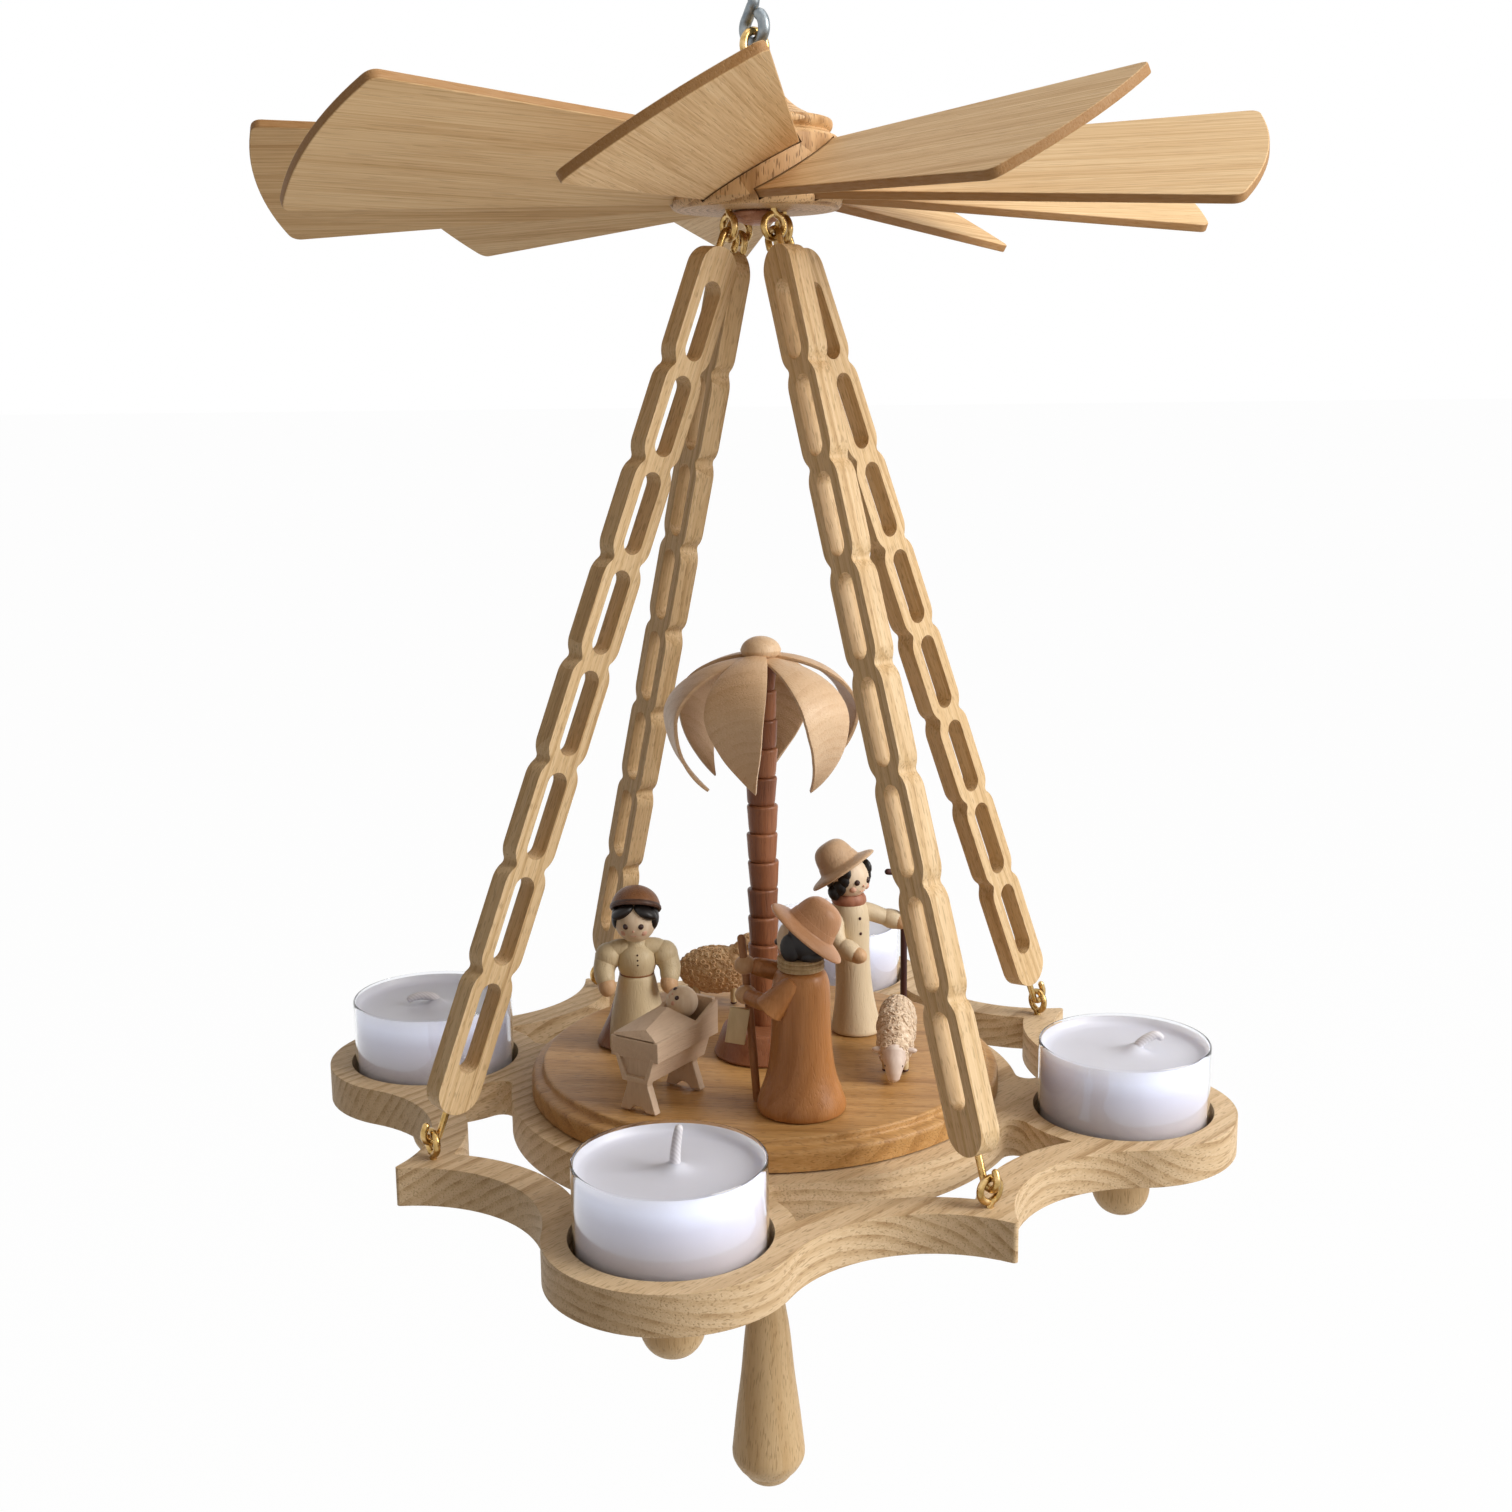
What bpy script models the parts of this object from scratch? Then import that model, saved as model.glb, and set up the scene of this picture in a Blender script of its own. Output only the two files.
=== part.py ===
"""Hanging candle carousel: a slotted wooden hub with nine vanes turns on a wire hook.
Four slotted arms hang from the hub and carry a board with four candles and a small scene.
Metres, +Z up. The origin is the point where the steel hanger rests on a ceiling hook."""

import math

import bmesh
import bpy
from mathutils import Matrix, Vector

# Clearances
fit_gap = 0.0003
cut_overrun = 0.002
weld_distance = 0.00002

# Steel hanger: an open hook above, a closed eye below
hanger_wire_radius = 0.0013
hanger_hook_radius = 0.0055
hanger_hook_lip = 0.006
hanger_drop = 0.050
hanger_eye_radius = 0.0031
hanger_kink_height = 0.0075
hanger_kink_share = 1.4
hanger_eye_turn = math.radians(-50)
hanger_eye_close = math.radians(57)
hanger_return_length = 0.0170

# Brass swivel hook, its bush, bearing and nut
swivel_wire_radius = 0.0009
swivel_loop_radius = 0.0031
swivel_rise = 0.0022
swivel_bend_share = 0.5
swivel_loop_start = math.radians(35)
swivel_loop_end = math.radians(35)
bush_radius = 0.0021
bush_height = 0.006
bearing_radius = 0.0040
bearing_height = 0.0030
bearing_groove_depth = 0.0004
nut_radius = 0.0028
nut_height = 0.0024
stem_end_length = 0.0010

# Turned hub
hub_height = 0.0286
hub_radius = 0.0189
hub_pocket_radius = 0.0046
hub_pocket_depth = 0.0105
hub_profile_shares = (
    (0.190, 1.000), (0.240, 0.900), (0.300, 0.840), (0.400, 0.780),
    (0.590, 0.706), (0.740, 0.665), (0.865, 0.648), (0.885, 0.620), (0.875, 0.585),
    (0.845, 0.562), (0.945, 0.525), (1.000, 0.085), (0.930, 0.000),
)
plug_radius = 0.0054
plug_drop = 0.0028
plug_spigot_length = 0.0022

# Vanes
vane_count = 9
vane_first_turn = math.radians(-99.4)
vane_pitch = math.radians(29.5)
vane_thickness = 0.0020
vane_height_over_hub_base = 0.0072
vane_root_radius = 0.0135
vane_corner_radius = 0.1040
vane_bulge = 0.0035
vane_root_low = 0.0106
vane_root_high = 0.0124
vane_tip_low = 0.0213
vane_tip_high = 0.0195
vane_corner_round = 0.0025

# Screw eyes and screw hooks
screw_wire_radius = 0.0008
screw_eye_radius = 0.0025
screw_eye_neck = 0.0004
screw_hook_radius = 0.0021
screw_hook_reach = 0.0026
low_hook_reach = 0.00485
screw_hook_lip = 0.0012
screw_shank_length = 0.0055
hub_eye_circle_radius = 0.0070

# Slotted arms: each lobe is a little larger than the one above it
arm_count = 4
arm_length = 0.1948
arm_thickness = 0.0048
arm_lobe_count = 8
arm_first_lobe = 0.0165
arm_lobe_pitch = 0.0214
arm_lobe_width = 0.0105
arm_slot_length = 0.0177
arm_slot_width = 0.0050
arm_lobe_length_share = 1.15
arm_growth_share = 1.0195
arm_width_growth_share = 1.007

# Base plate: a disc, a lobe for each candle and a pointed corner for each arm
first_candle_turn = math.radians(-104.06)
plate_thickness = 0.0086
candle_circle_radius = 0.0837
plate_disc_inset = 0.0238
corner_reach = 0.0102
plate_eye_inset = 0.0096
lobe_radius = 0.0255
corner_round = 0.0008
corner_curve_radius = 0.0310
corner_band_width = 0.0080
opening_lobe_radius = 0.0250
opening_fillet = 0.0030
candle_recess_radius = 0.0203
candle_recess_depth = 0.0060

# Platform, finial and knobs
platform_margin = 0.0049
platform_thickness = 0.0068
platform_profile_shares = ((0.957, 1.0), (0.968, 0.80), (0.992, 0.64), (1.0, 0.42), (1.0, 0.0))
finial_length = 0.0967
finial_radius = 0.0090
finial_profile_shares = (
    (0.85, 0.000), (0.95, 0.018), (0.90, 0.045), (0.62, 0.075), (0.44, 0.125), (0.40, 0.230),
    (0.40, 0.360), (0.44, 0.470), (0.61, 0.576), (0.73, 0.693), (0.87, 0.790), (1.00, 0.905),
    (0.99, 0.925), (0.66, 0.966), (0.62, 0.972), (0.40, 0.994),
)
finial_spigot_radius = 0.0030
finial_spigot_length = 0.0050
knob_length = 0.0170
knob_radius = 0.0066
knob_profile_shares = ((0.72, 0.0), (0.66, 0.12), (0.74, 0.26), (0.94, 0.44), (1.0, 0.60), (0.93, 0.77),
                       (0.68, 0.91), (0.30, 0.985))
knob_spigot_radius = 0.0016
knob_spigot_length = 0.0018

# Tealights
cup_radius = 0.01925
cup_height = 0.0214
cup_wall = 0.0006
wax_below_rim = 0.0027
wax_cone_radius = 0.0050
wax_cone_height = 0.0020
wax_cone_shoulder_share = 0.5
wax_cone_foot_share = 0.33
wick_radius = 0.0010
wick_height = 0.0076
wick_leans = (math.radians(10), math.radians(46), math.radians(-12), math.radians(-30))

# Palm
palm_foot_radius = 0.0120
palm_foot_height = 0.0066
palm_trunk_radius = 0.0036
palm_ring_count = 13
palm_trunk_height = 0.0930
palm_spigot_radius = 0.0018
palm_spigot_length = 0.0040
palm_cap_radius = 0.0047
palm_cap_height = 0.0056
palm_leaf_count = 6
palm_leaf_thickness = 0.0008
palm_leaf_reach = 0.0212
palm_leaf_shoulder = 0.0125
palm_leaf_drop = 0.0215
palm_leaf_half_width = 0.0068
palm_first_leaf_turn = math.radians(-108)
palm_foot_shoulder_share = 0.80
palm_ring_neck_share = 0.84
palm_ring_waist_share = 0.93
palm_leaf_bend_share = 1.42
palm_leaf_slant_share = 0.11
palm_leaf_cup_share = 0.12
palm_slant_start_share = 0.6
palm_leaf_shares = ((0.30, 0.06), (0.62, 0.20), (0.92, 0.40), (1.00, 0.60), (0.90, 0.76), (0.60, 0.90),
                    (0.38, 1.00))

# Figures: each is a height, a place as a share of the platform's radius, and a facing direction
figure_crown_share = 0.3
woman_height = 0.0398
woman_place_share = (-0.548, 0.100)
woman_turn = math.radians(-70)
woman_profile_shares = (
    (0.085, 0.975), (0.130, 0.925), (0.149, 0.870), (0.149, 0.845), (0.136, 0.830), (0.139, 0.780),
    (0.125, 0.720), (0.090, 0.670), (0.065, 0.655), (0.085, 0.630), (0.115, 0.580), (0.120, 0.530),
    (0.100, 0.455), (0.108, 0.435), (0.130, 0.330), (0.165, 0.150), (0.190, 0.020), (0.190, 0.000),
)
lantern_man_height = 0.0480
lantern_man_place_share = (0.131, -0.655)
lantern_man_turn = math.radians(155)
lantern_man_profile_shares = (
    (0.060, 0.890), (0.098, 0.850), (0.106, 0.790), (0.100, 0.740), (0.085, 0.712), (0.103, 0.704),
    (0.106, 0.680), (0.100, 0.662), (0.120, 0.630), (0.131, 0.560), (0.133, 0.450), (0.140, 0.300),
    (0.155, 0.180), (0.190, 0.080), (0.204, 0.030), (0.204, 0.000),
)
shepherd_height = 0.0484
shepherd_place_share = (0.415, 0.255)
shepherd_turn = math.radians(-62)
shepherd_lean = math.radians(3.2)
shepherd_lean_turn = math.radians(242)
shepherd_profile_shares = (
    (0.060, 0.705), (0.080, 0.700), (0.083, 0.655), (0.094, 0.620), (0.096, 0.560), (0.088, 0.400),
    (0.092, 0.250), (0.112, 0.090), (0.108, 0.060),
)
shepherd_hem_shares = ((0.106, 0.130), (0.120, 0.060), (0.128, 0.010), (0.128, 0.000))
shepherd_head_share = (0.0, 0.0, 0.795)
shepherd_head_radius_share = 0.107
hat_profile_shares = (
    (0.060, 0.140), (0.092, 0.100), (0.105, 0.045), (0.112, 0.022), (0.165, 0.008), (0.183, -0.006),
    (0.178, -0.016), (0.110, -0.006),
)
hat_crown_share = 0.150
woman_bars_shares = (
    ((0.00, 0.05, 0.600), (0.00, 0.17, 0.560), 0.060), ((0.00, -0.05, 0.600), (0.00, -0.17, 0.560), 0.060),
    ((0.02, 0.18, 0.530), (0.12, 0.17, 0.400), 0.052), ((0.02, -0.18, 0.530), (0.12, -0.17, 0.400), 0.052),
)
woman_balls_shares = (
    ((0.005, 0.178, 0.540), 0.082), ((0.005, -0.178, 0.540), 0.082),
    ((0.135, 0.165, 0.388), 0.056), ((0.135, -0.165, 0.388), 0.056),
)
lantern_man_bars_shares = (
    ((0.00, 0.06, 0.620), (0.06, 0.155, 0.520), 0.050), ((0.06, 0.155, 0.520), (0.23, 0.045, 0.505), 0.042),
    ((0.00, -0.06, 0.620), (0.22, -0.035, 0.630), 0.045), ((0.236, 0.00, 0.800), (0.214, 0.00, 0.012), 0.016),
)
lantern_man_balls_shares = (((0.240, 0.030, 0.505), 0.046), ((0.235, -0.010, 0.635), 0.046))
lantern_place_share = (0.262, 0.085, 0.375)
lantern_size_share = (0.040, 0.110, 0.190)
lantern_man_hat_share = (-0.030, -0.014, 0.806)
lantern_man_hat_turn = math.radians(207)
lantern_man_hat_tilt = math.radians(40)
lantern_man_hat_size_share = 1.09
shepherd_bars_shares = (
    ((0.00, 0.05, 0.610), (0.05, 0.150, 0.580), 0.046), ((0.05, 0.150, 0.580), (0.09, 0.215, 0.560), 0.040),
    ((0.00, -0.05, 0.605), (0.06, -0.115, 0.500), 0.044),
    ((0.06, -0.115, 0.500), (0.15, -0.075, 0.450), 0.038),
)
shepherd_balls_shares = (((0.100, 0.225, 0.560), 0.044), ((0.165, -0.070, 0.440), 0.044))
shepherd_staff_shares = (
    ((0.105, 0.200, 0.860), (0.105, 0.200, 0.012), 0.017),
    ((0.105, 0.200, 0.855), (0.090, 0.130, 0.900), 0.015),
)
shepherd_hat_share = (0.000, -0.018, 0.812)
shepherd_hat_turn = math.radians(222)
shepherd_hat_tilt = math.radians(29)
shepherd_hat_size_share = 0.97
manger_height = 0.0175
manger_length = 0.0235
manger_place_share = (-0.416, -0.522)
manger_turn = math.radians(56.5)
manger_board_share = 0.075
manger_leg_board_share = 0.115
manger_leg_places_share = (-0.525, 0.460)
manger_side_place_share = 0.320
manger_end_places_share = (-0.590, 0.675)
trough_outline_shares = ((-0.30, 0.74), (-0.19, 0.40), (0.19, 0.40), (0.30, 0.74), (0.24, 0.74),
                         (0.14, 0.47), (-0.14, 0.47), (-0.24, 0.74))
manger_leg_outline_shares = ((-0.27, 0.72), (-0.155, 0.355), (-0.27, 0.00), (-0.12, 0.00), (-0.05, 0.07),
                             (0.05, 0.07), (0.12, 0.00), (0.27, 0.00), (0.155, 0.355), (0.27, 0.72))
manger_side_outline_shares = ((-0.63, 0.70), (0.71, 0.70), (0.71, 1.15), (0.30, 0.98), (-0.63, 0.96))
manger_foot_outline_shares = ((-0.32, 0.70), (0.32, 0.70), (0.32, 0.95), (-0.32, 0.95))
manger_head_outline_shares = ((-0.32, 0.70), (0.32, 0.70), (0.32, 1.18), (-0.32, 1.18))
infant_head_radius = 0.0034
infant_head_share = (0.41, 0.00, 1.13)
blanket_half_shares = ((-0.53, 0.26, 0.76), (-0.53, 0.26, 0.95), (-0.47, 0.20, 1.01), (0.12, 0.12, 1.13),
                       (0.26, 0.25, 1.06), (0.30, 0.26, 0.76))
sheep_length = 0.0190
near_sheep_place_share = (0.560, -0.185)
near_sheep_turn = math.radians(-92)
far_sheep_place_share = (-0.210, 0.655)
far_sheep_turn = math.radians(-4)
sheep_body_size_share = (0.34, 0.225, 0.280)
sheep_body_places_share = ((-0.17, 0.0, 0.49), (0.17, 0.0, 0.49))
sheep_leg_shares = (
    ((0.28, 0.11, 0.40), (0.28, 0.12, 0.0), 0.048), ((0.28, -0.11, 0.40), (0.28, -0.12, 0.0), 0.048),
    ((-0.28, 0.11, 0.40), (-0.28, 0.12, 0.0), 0.048), ((-0.28, -0.11, 0.40), (-0.28, -0.12, 0.0), 0.048),
)
near_sheep_head_shares = (((0.40, 0.0, 0.44), (0.62, 0.0, 0.14), 0.110),)
near_sheep_balls_shares = (((0.46, 0.11, 0.40), 0.060), ((0.46, -0.11, 0.40), 0.060))
far_sheep_head_shares = (
    ((0.36, 0.0, 0.56), (0.52, 0.0, 0.84), 0.125), ((0.50, 0.0, 0.80), (0.70, 0.0, 0.70), 0.090),
)
far_sheep_balls_shares = (((0.50, 0.11, 0.84), 0.060), ((0.50, -0.11, 0.84), 0.060))

# Looks: linear base colour, roughness, metallic
look_values = {
    "galvanised_steel": ((0.30, 0.34, 0.38), 0.45, 1.0),
    "bearing_steel": ((0.42, 0.42, 0.44), 0.30, 1.0),
    "brass": ((0.50, 0.32, 0.08), 0.30, 1.0),
    "turned_beech": ((0.56, 0.38, 0.22), 0.55, 0.0),
    "rosy_beech": ((0.48, 0.29, 0.19), 0.55, 0.0),
    "vane_wood": ((0.60, 0.43, 0.24), 0.55, 0.0),
    "arm_wood": ((0.58, 0.41, 0.25), 0.55, 0.0),
    "plate_wood": ((0.60, 0.43, 0.27), 0.55, 0.0),
    "platform_wood": ((0.48, 0.29, 0.13), 0.50, 0.0),
    "finial_wood": ((0.52, 0.37, 0.22), 0.55, 0.0),
    "palm_brown": ((0.26, 0.11, 0.06), 0.50, 0.0),
    "leaf_wood": ((0.56, 0.38, 0.22), 0.50, 0.0),
    "figure_wood": ((0.66, 0.52, 0.34), 0.50, 0.0),
    "cherry_wood": ((0.46, 0.20, 0.08), 0.45, 0.0),
    "pale_wood": ((0.60, 0.46, 0.36), 0.60, 0.0),
    "wool": ((0.66, 0.50, 0.34), 0.90, 0.0),
    "clear_cup": ((0.80, 0.84, 0.90), 0.05, 0.0),
    "wax": ((0.72, 0.72, 0.76), 0.45, 0.0),
}

# Facets
platform_steps = 40
fine_steps = 24
round_steps = 16
small_steps = 12
ball_steps = 7
bar_steps = 6
arc_steps = 8

half_turn = math.pi
quarter_turn = math.pi / 2
full_turn = 2 * math.pi

# Levels, from the hanging point down
hanger_hook_z = -(hanger_hook_radius - hanger_wire_radius)
hanger_eye_z = -hanger_drop
swing_z = hanger_eye_z - hanger_eye_radius
swivel_loop_z = swing_z + hanger_wire_radius + fit_gap - (swivel_loop_radius - swivel_wire_radius)
hub_top_z = swivel_loop_z - swivel_loop_radius - swivel_rise
hub_base_z = hub_top_z - hub_height
hub_eye_z = hub_base_z - screw_eye_neck - screw_eye_radius - screw_wire_radius
vane_z = hub_base_z + vane_height_over_hub_base
hook_seat = 2 * screw_wire_radius + fit_gap - screw_hook_radius
top_hook_z = hub_eye_z - screw_eye_radius + hook_seat

# Circles on the plate, all worked out from the candles' circle
plate_disc_radius = candle_circle_radius - plate_disc_inset
platform_radius = plate_disc_radius - platform_margin
corner_circle_radius = candle_circle_radius + corner_reach
plate_eye_circle_radius = corner_circle_radius - plate_eye_inset

# The line between an arm's two hook bends leans by link_lean, and the arm itself by arm_lean
link_run = arm_length + screw_hook_reach + low_hook_reach
link_offset = 2 * screw_hook_radius
link_length = math.hypot(link_run, link_offset)
link_lean = math.asin((plate_eye_circle_radius - hub_eye_circle_radius) / link_length)
arm_lean = link_lean - math.atan2(link_offset, link_run)
bottom_hook_z = top_hook_z - link_length * math.cos(link_lean)
plate_eye_z = bottom_hook_z - hook_seat - screw_eye_radius
plate_top_z = plate_eye_z - screw_eye_radius - screw_wire_radius - screw_eye_neck
plate_base_z = plate_top_z - plate_thickness
platform_base_z = plate_top_z + fit_gap
platform_top_z = platform_base_z + platform_thickness
figure_base_z = platform_top_z + fit_gap
recess_floor_z = plate_top_z - candle_recess_depth
cup_base_z = recess_floor_z + fit_gap
wax_radius = cup_radius - cup_wall - fit_gap
wax_base_z = cup_base_z + cup_wall + fit_gap
arm_pivot_z = top_hook_z + screw_hook_radius
pocket_top_z = hub_base_z + hub_pocket_depth
stem_bore_radius = swivel_wire_radius + 2 * fit_gap
bush_seat_z = hub_top_z - bush_height - fit_gap
bearing_top_z = pocket_top_z - fit_gap
bearing_base_z = bearing_top_z - bearing_height
nut_base_z = bearing_base_z - fit_gap - nut_height
stem_end_z = nut_base_z - stem_end_length
wax_top_z = cup_base_z + cup_height - wax_below_rim
shank_bore_radius = screw_wire_radius + fit_gap
shank_bore_depth = screw_shank_length + fit_gap
first_corner_turn = first_candle_turn + quarter_turn / 2


def clear_scene():
    for obj in list(bpy.data.objects):
        bpy.data.objects.remove(obj, do_unlink=True)


def new_collection(name):
    made = bpy.data.collections.new(name)
    bpy.context.scene.collection.children.link(made)
    return made


def new_material(name, colour, roughness, metallic=0.0):
    made = bpy.data.materials.new(name)
    made.use_nodes = True
    shader = made.node_tree.nodes["Principled BSDF"]
    shader.inputs["Base Color"].default_value = (*colour, 1.0)
    shader.inputs["Roughness"].default_value = roughness
    shader.inputs["Metallic"].default_value = metallic
    made.diffuse_color = (*colour, 1.0)
    return made


def add_object(name, data, look=None, matrix=None):
    """A piece when it has a look, otherwise a helper for a cut or a join."""
    obj = bpy.data.objects.new(name, data)
    if look:
        pieces.objects.link(obj)
        data.materials.append(looks[look])
    else:
        helpers.objects.link(obj)
        obj.hide_render = True
        obj.display_type = "WIRE"
    if matrix:
        obj.matrix_world = matrix
    return obj


def turned(name, profile, look=None, matrix=None, steps=small_steps):
    """A profile of (radius, height) points, down the outer side, turned about Z."""
    mesh = bpy.data.meshes.new(name)
    points = [(radius, 0.0, height) for radius, height in profile]
    edges = [(index, index + 1) for index in range(len(points) - 1)]
    if profile[0][0] > 0:
        edges.append((len(points) - 1, 0))
    mesh.from_pydata(points, edges, [])
    obj = add_object(name, mesh, look, matrix)
    screw = obj.modifiers.new("turn", "SCREW")
    screw.axis = "Z"
    screw.steps = steps
    screw.render_steps = steps
    screw.use_merge_vertices = True
    screw.merge_threshold = weld_distance
    screw.use_smooth_shade = True
    return obj


def bmesh_object(name, build, look=None, matrix=None, smooth=True):
    mesh = bpy.data.meshes.new(name)
    body = bmesh.new()
    build(body)
    for face in body.faces:
        face.smooth = smooth
    body.to_mesh(mesh)
    body.free()
    return add_object(name, mesh, look, matrix)


def rod(name, start, end, radius, matrix=None, steps=bar_steps):
    """A round bar between two points, for a cut or a join."""
    start = Vector(start)
    end = Vector(end)
    along = end - start
    turn = along.to_track_quat("Z", "Y").to_matrix().to_4x4()
    middle = Matrix.Translation((start + end) / 2) @ turn

    def build(body):
        bmesh.ops.create_cone(body, cap_ends=True, segments=steps, radius1=radius, radius2=radius,
                              depth=along.length, matrix=middle)

    return bmesh_object(name, build, None, matrix)


def ball(name, centre, radii, look=None, matrix=None, steps=small_steps):
    placed = Matrix.Translation(centre) @ Matrix.Diagonal((*radii, 1.0))

    def build(body):
        bmesh.ops.create_uvsphere(body, u_segments=steps, v_segments=steps // 2 + 1, radius=1.0,
                                  matrix=placed)

    return bmesh_object(name, build, look, matrix)


def block(name, size, matrix):
    """A box for a join, with its middle at the matrix's place."""

    def build(body):
        bmesh.ops.create_cube(body, size=1.0, matrix=Matrix.Diagonal((*size, 1.0)))

    return bmesh_object(name, build, None, matrix, smooth=False)


def hull(name, corners, matrix):
    """The solid with flat faces round these corners, for a join."""

    def build(body):
        for corner in corners:
            body.verts.new(corner)
        bmesh.ops.convex_hull(body, input=body.verts)

    return bmesh_object(name, build, None, matrix, smooth=False)


def curve_object(name, look, matrix, flat):
    data = bpy.data.curves.new(name, "CURVE")
    data.dimensions = "2D" if flat else "3D"
    data.fill_mode = "BOTH" if flat else "FULL"
    return add_object(name, data, look, matrix)


def add_spline(curve, points, cyclic):
    spline = curve.splines.new("POLY")
    spline.points.add(len(points) - 1)
    for target, point in zip(spline.points, points):
        target.co = (*point, *([0.0] * (3 - len(point))), 1.0)
    spline.use_cyclic_u = cyclic


def wire(name, points, radius, look=None, matrix=None):
    obj = curve_object(name, look, matrix, flat=False)
    add_spline(obj.data, points, cyclic=False)
    obj.data.bevel_depth = radius
    obj.data.bevel_resolution = 1
    obj.data.use_fill_caps = True
    return obj


def flat_board(name, outlines, thickness, look=None, matrix=None):
    """A board from a 2D outline and its openings, centred on its own XY plane, as a mesh."""
    obj = curve_object(name, look, matrix, flat=True)
    for outline in outlines:
        add_spline(obj.data, outline, cyclic=True)
    obj.data.extrude = thickness / 2
    return to_mesh(obj, look)


def to_mesh(obj, look):
    """The same shape as a closed mesh, which a Boolean can cut or join."""
    bpy.context.view_layer.update()
    graph = bpy.context.evaluated_depsgraph_get()
    mesh = bpy.data.meshes.new_from_object(obj.evaluated_get(graph))
    body = bmesh.new()
    body.from_mesh(mesh)
    bmesh.ops.remove_doubles(body, verts=body.verts, dist=weld_distance)
    bmesh.ops.recalc_face_normals(body, faces=body.faces)
    body.to_mesh(mesh)
    body.free()
    name = obj.name
    matrix = obj.matrix_world.copy()
    mesh.materials.clear()
    bpy.data.objects.remove(obj, do_unlink=True)
    return add_object(name, mesh, look, matrix)


def cut(obj, cutter):
    change = obj.modifiers.new("cut", "BOOLEAN")
    change.operation = "DIFFERENCE"
    change.object = cutter
    return obj


def join(obj, others):
    for other in others:
        change = obj.modifiers.new("join", "BOOLEAN")
        change.operation = "UNION"
        change.object = other
    return obj


def rest_on(parent, child):
    """Parents the child where it lies."""
    bpy.context.view_layer.update()
    child.parent = parent
    child.matrix_parent_inverse = parent.matrix_world.inverted()


def joint_point(name, matrix):
    empty = bpy.data.objects.new(name, None)
    empty.matrix_world = matrix
    pieces.objects.link(empty)
    return empty


def arc(centre, radius, start, end, steps=arc_steps):
    """Points on an arc from one angle to another, both ends included."""
    turns = [start + (end - start) * index / steps for index in range(steps + 1)]
    return [(centre[0] + radius * math.cos(turn), centre[1] + radius * math.sin(turn)) for turn in turns]


def direction(start, end):
    return math.atan2(end[1] - start[1], end[0] - start[0])


def circles_meet(first, first_radius, second, second_radius, side):
    """The point where two circles meet, to the left (1) or right (-1) of the line between them."""
    span = math.dist(first, second)
    along = (first_radius ** 2 - second_radius ** 2 + span ** 2) / (2 * span)
    across = side * math.sqrt(first_radius ** 2 - along ** 2)
    turn = direction(first, second)
    return (first[0] + along * math.cos(turn) - across * math.sin(turn),
            first[1] + along * math.sin(turn) + across * math.cos(turn))


def round_corner(before, corner, after, radius, steps=3):
    """Points on an arc of this radius that rounds the corner between its two neighbours."""
    corner = Vector(corner)
    first = (Vector(before) - corner).normalized()
    second = (Vector(after) - corner).normalized()
    half = first.angle(second) / 2
    centre = corner + (first + second).normalized() * radius / math.sin(half)
    start = corner + first * radius / math.tan(half)
    end = corner + second * radius / math.tan(half)
    start_turn = direction(centre, start)
    sweep = (direction(centre, end) - start_turn + half_turn) % full_turn - half_turn
    return arc(centre, radius, start_turn, start_turn + sweep, steps)


def corner_turn(index):
    return first_corner_turn + full_turn * index / arm_count


def candle_turn(index):
    return first_candle_turn + full_turn * index / arm_count


def mirrored(points):
    return [(x, -y) for x, y in reversed(points)]


def turned_points(points, turn):
    return [(x * math.cos(turn) - y * math.sin(turn), x * math.sin(turn) + y * math.cos(turn))
            for x, y in points]


def polar(radius, turn, height):
    return Vector((radius * math.cos(turn), radius * math.sin(turn), height))


def radial_frame(turn, height=0.0):
    """A frame with X outwards, Y along the tangent and Z up."""
    return Matrix.Translation((0, 0, height)) @ Matrix.Rotation(turn, 4, "Z")


def make_hanger():
    """The open hook bears on the ceiling hook at the origin, and the closed eye is below it."""
    hook = (0.0, hanger_hook_z)
    eye = (0.0, hanger_eye_z)
    points = [(-hanger_hook_radius, hanger_hook_z - hanger_hook_lip)]
    points += arc(hook, hanger_hook_radius, half_turn, 0.0)
    for index in range(1, 6):
        share = index / 5
        points.append((hanger_hook_radius * (1 + math.cos(half_turn * share)) / 2,
                       hanger_hook_z - hanger_return_length * share))
    points.append((0.0, hanger_eye_z + hanger_kink_height))
    points.append((-hanger_eye_radius / 4, hanger_eye_z + hanger_eye_radius * hanger_kink_share))
    points += arc(eye, hanger_eye_radius, half_turn * 3 / 4, full_turn + hanger_eye_close, 12)
    path = [(x, 0.0, z) for x, z in points]
    wire("hanger", path, hanger_wire_radius, "galvanised_steel", radial_frame(hanger_eye_turn))


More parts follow.
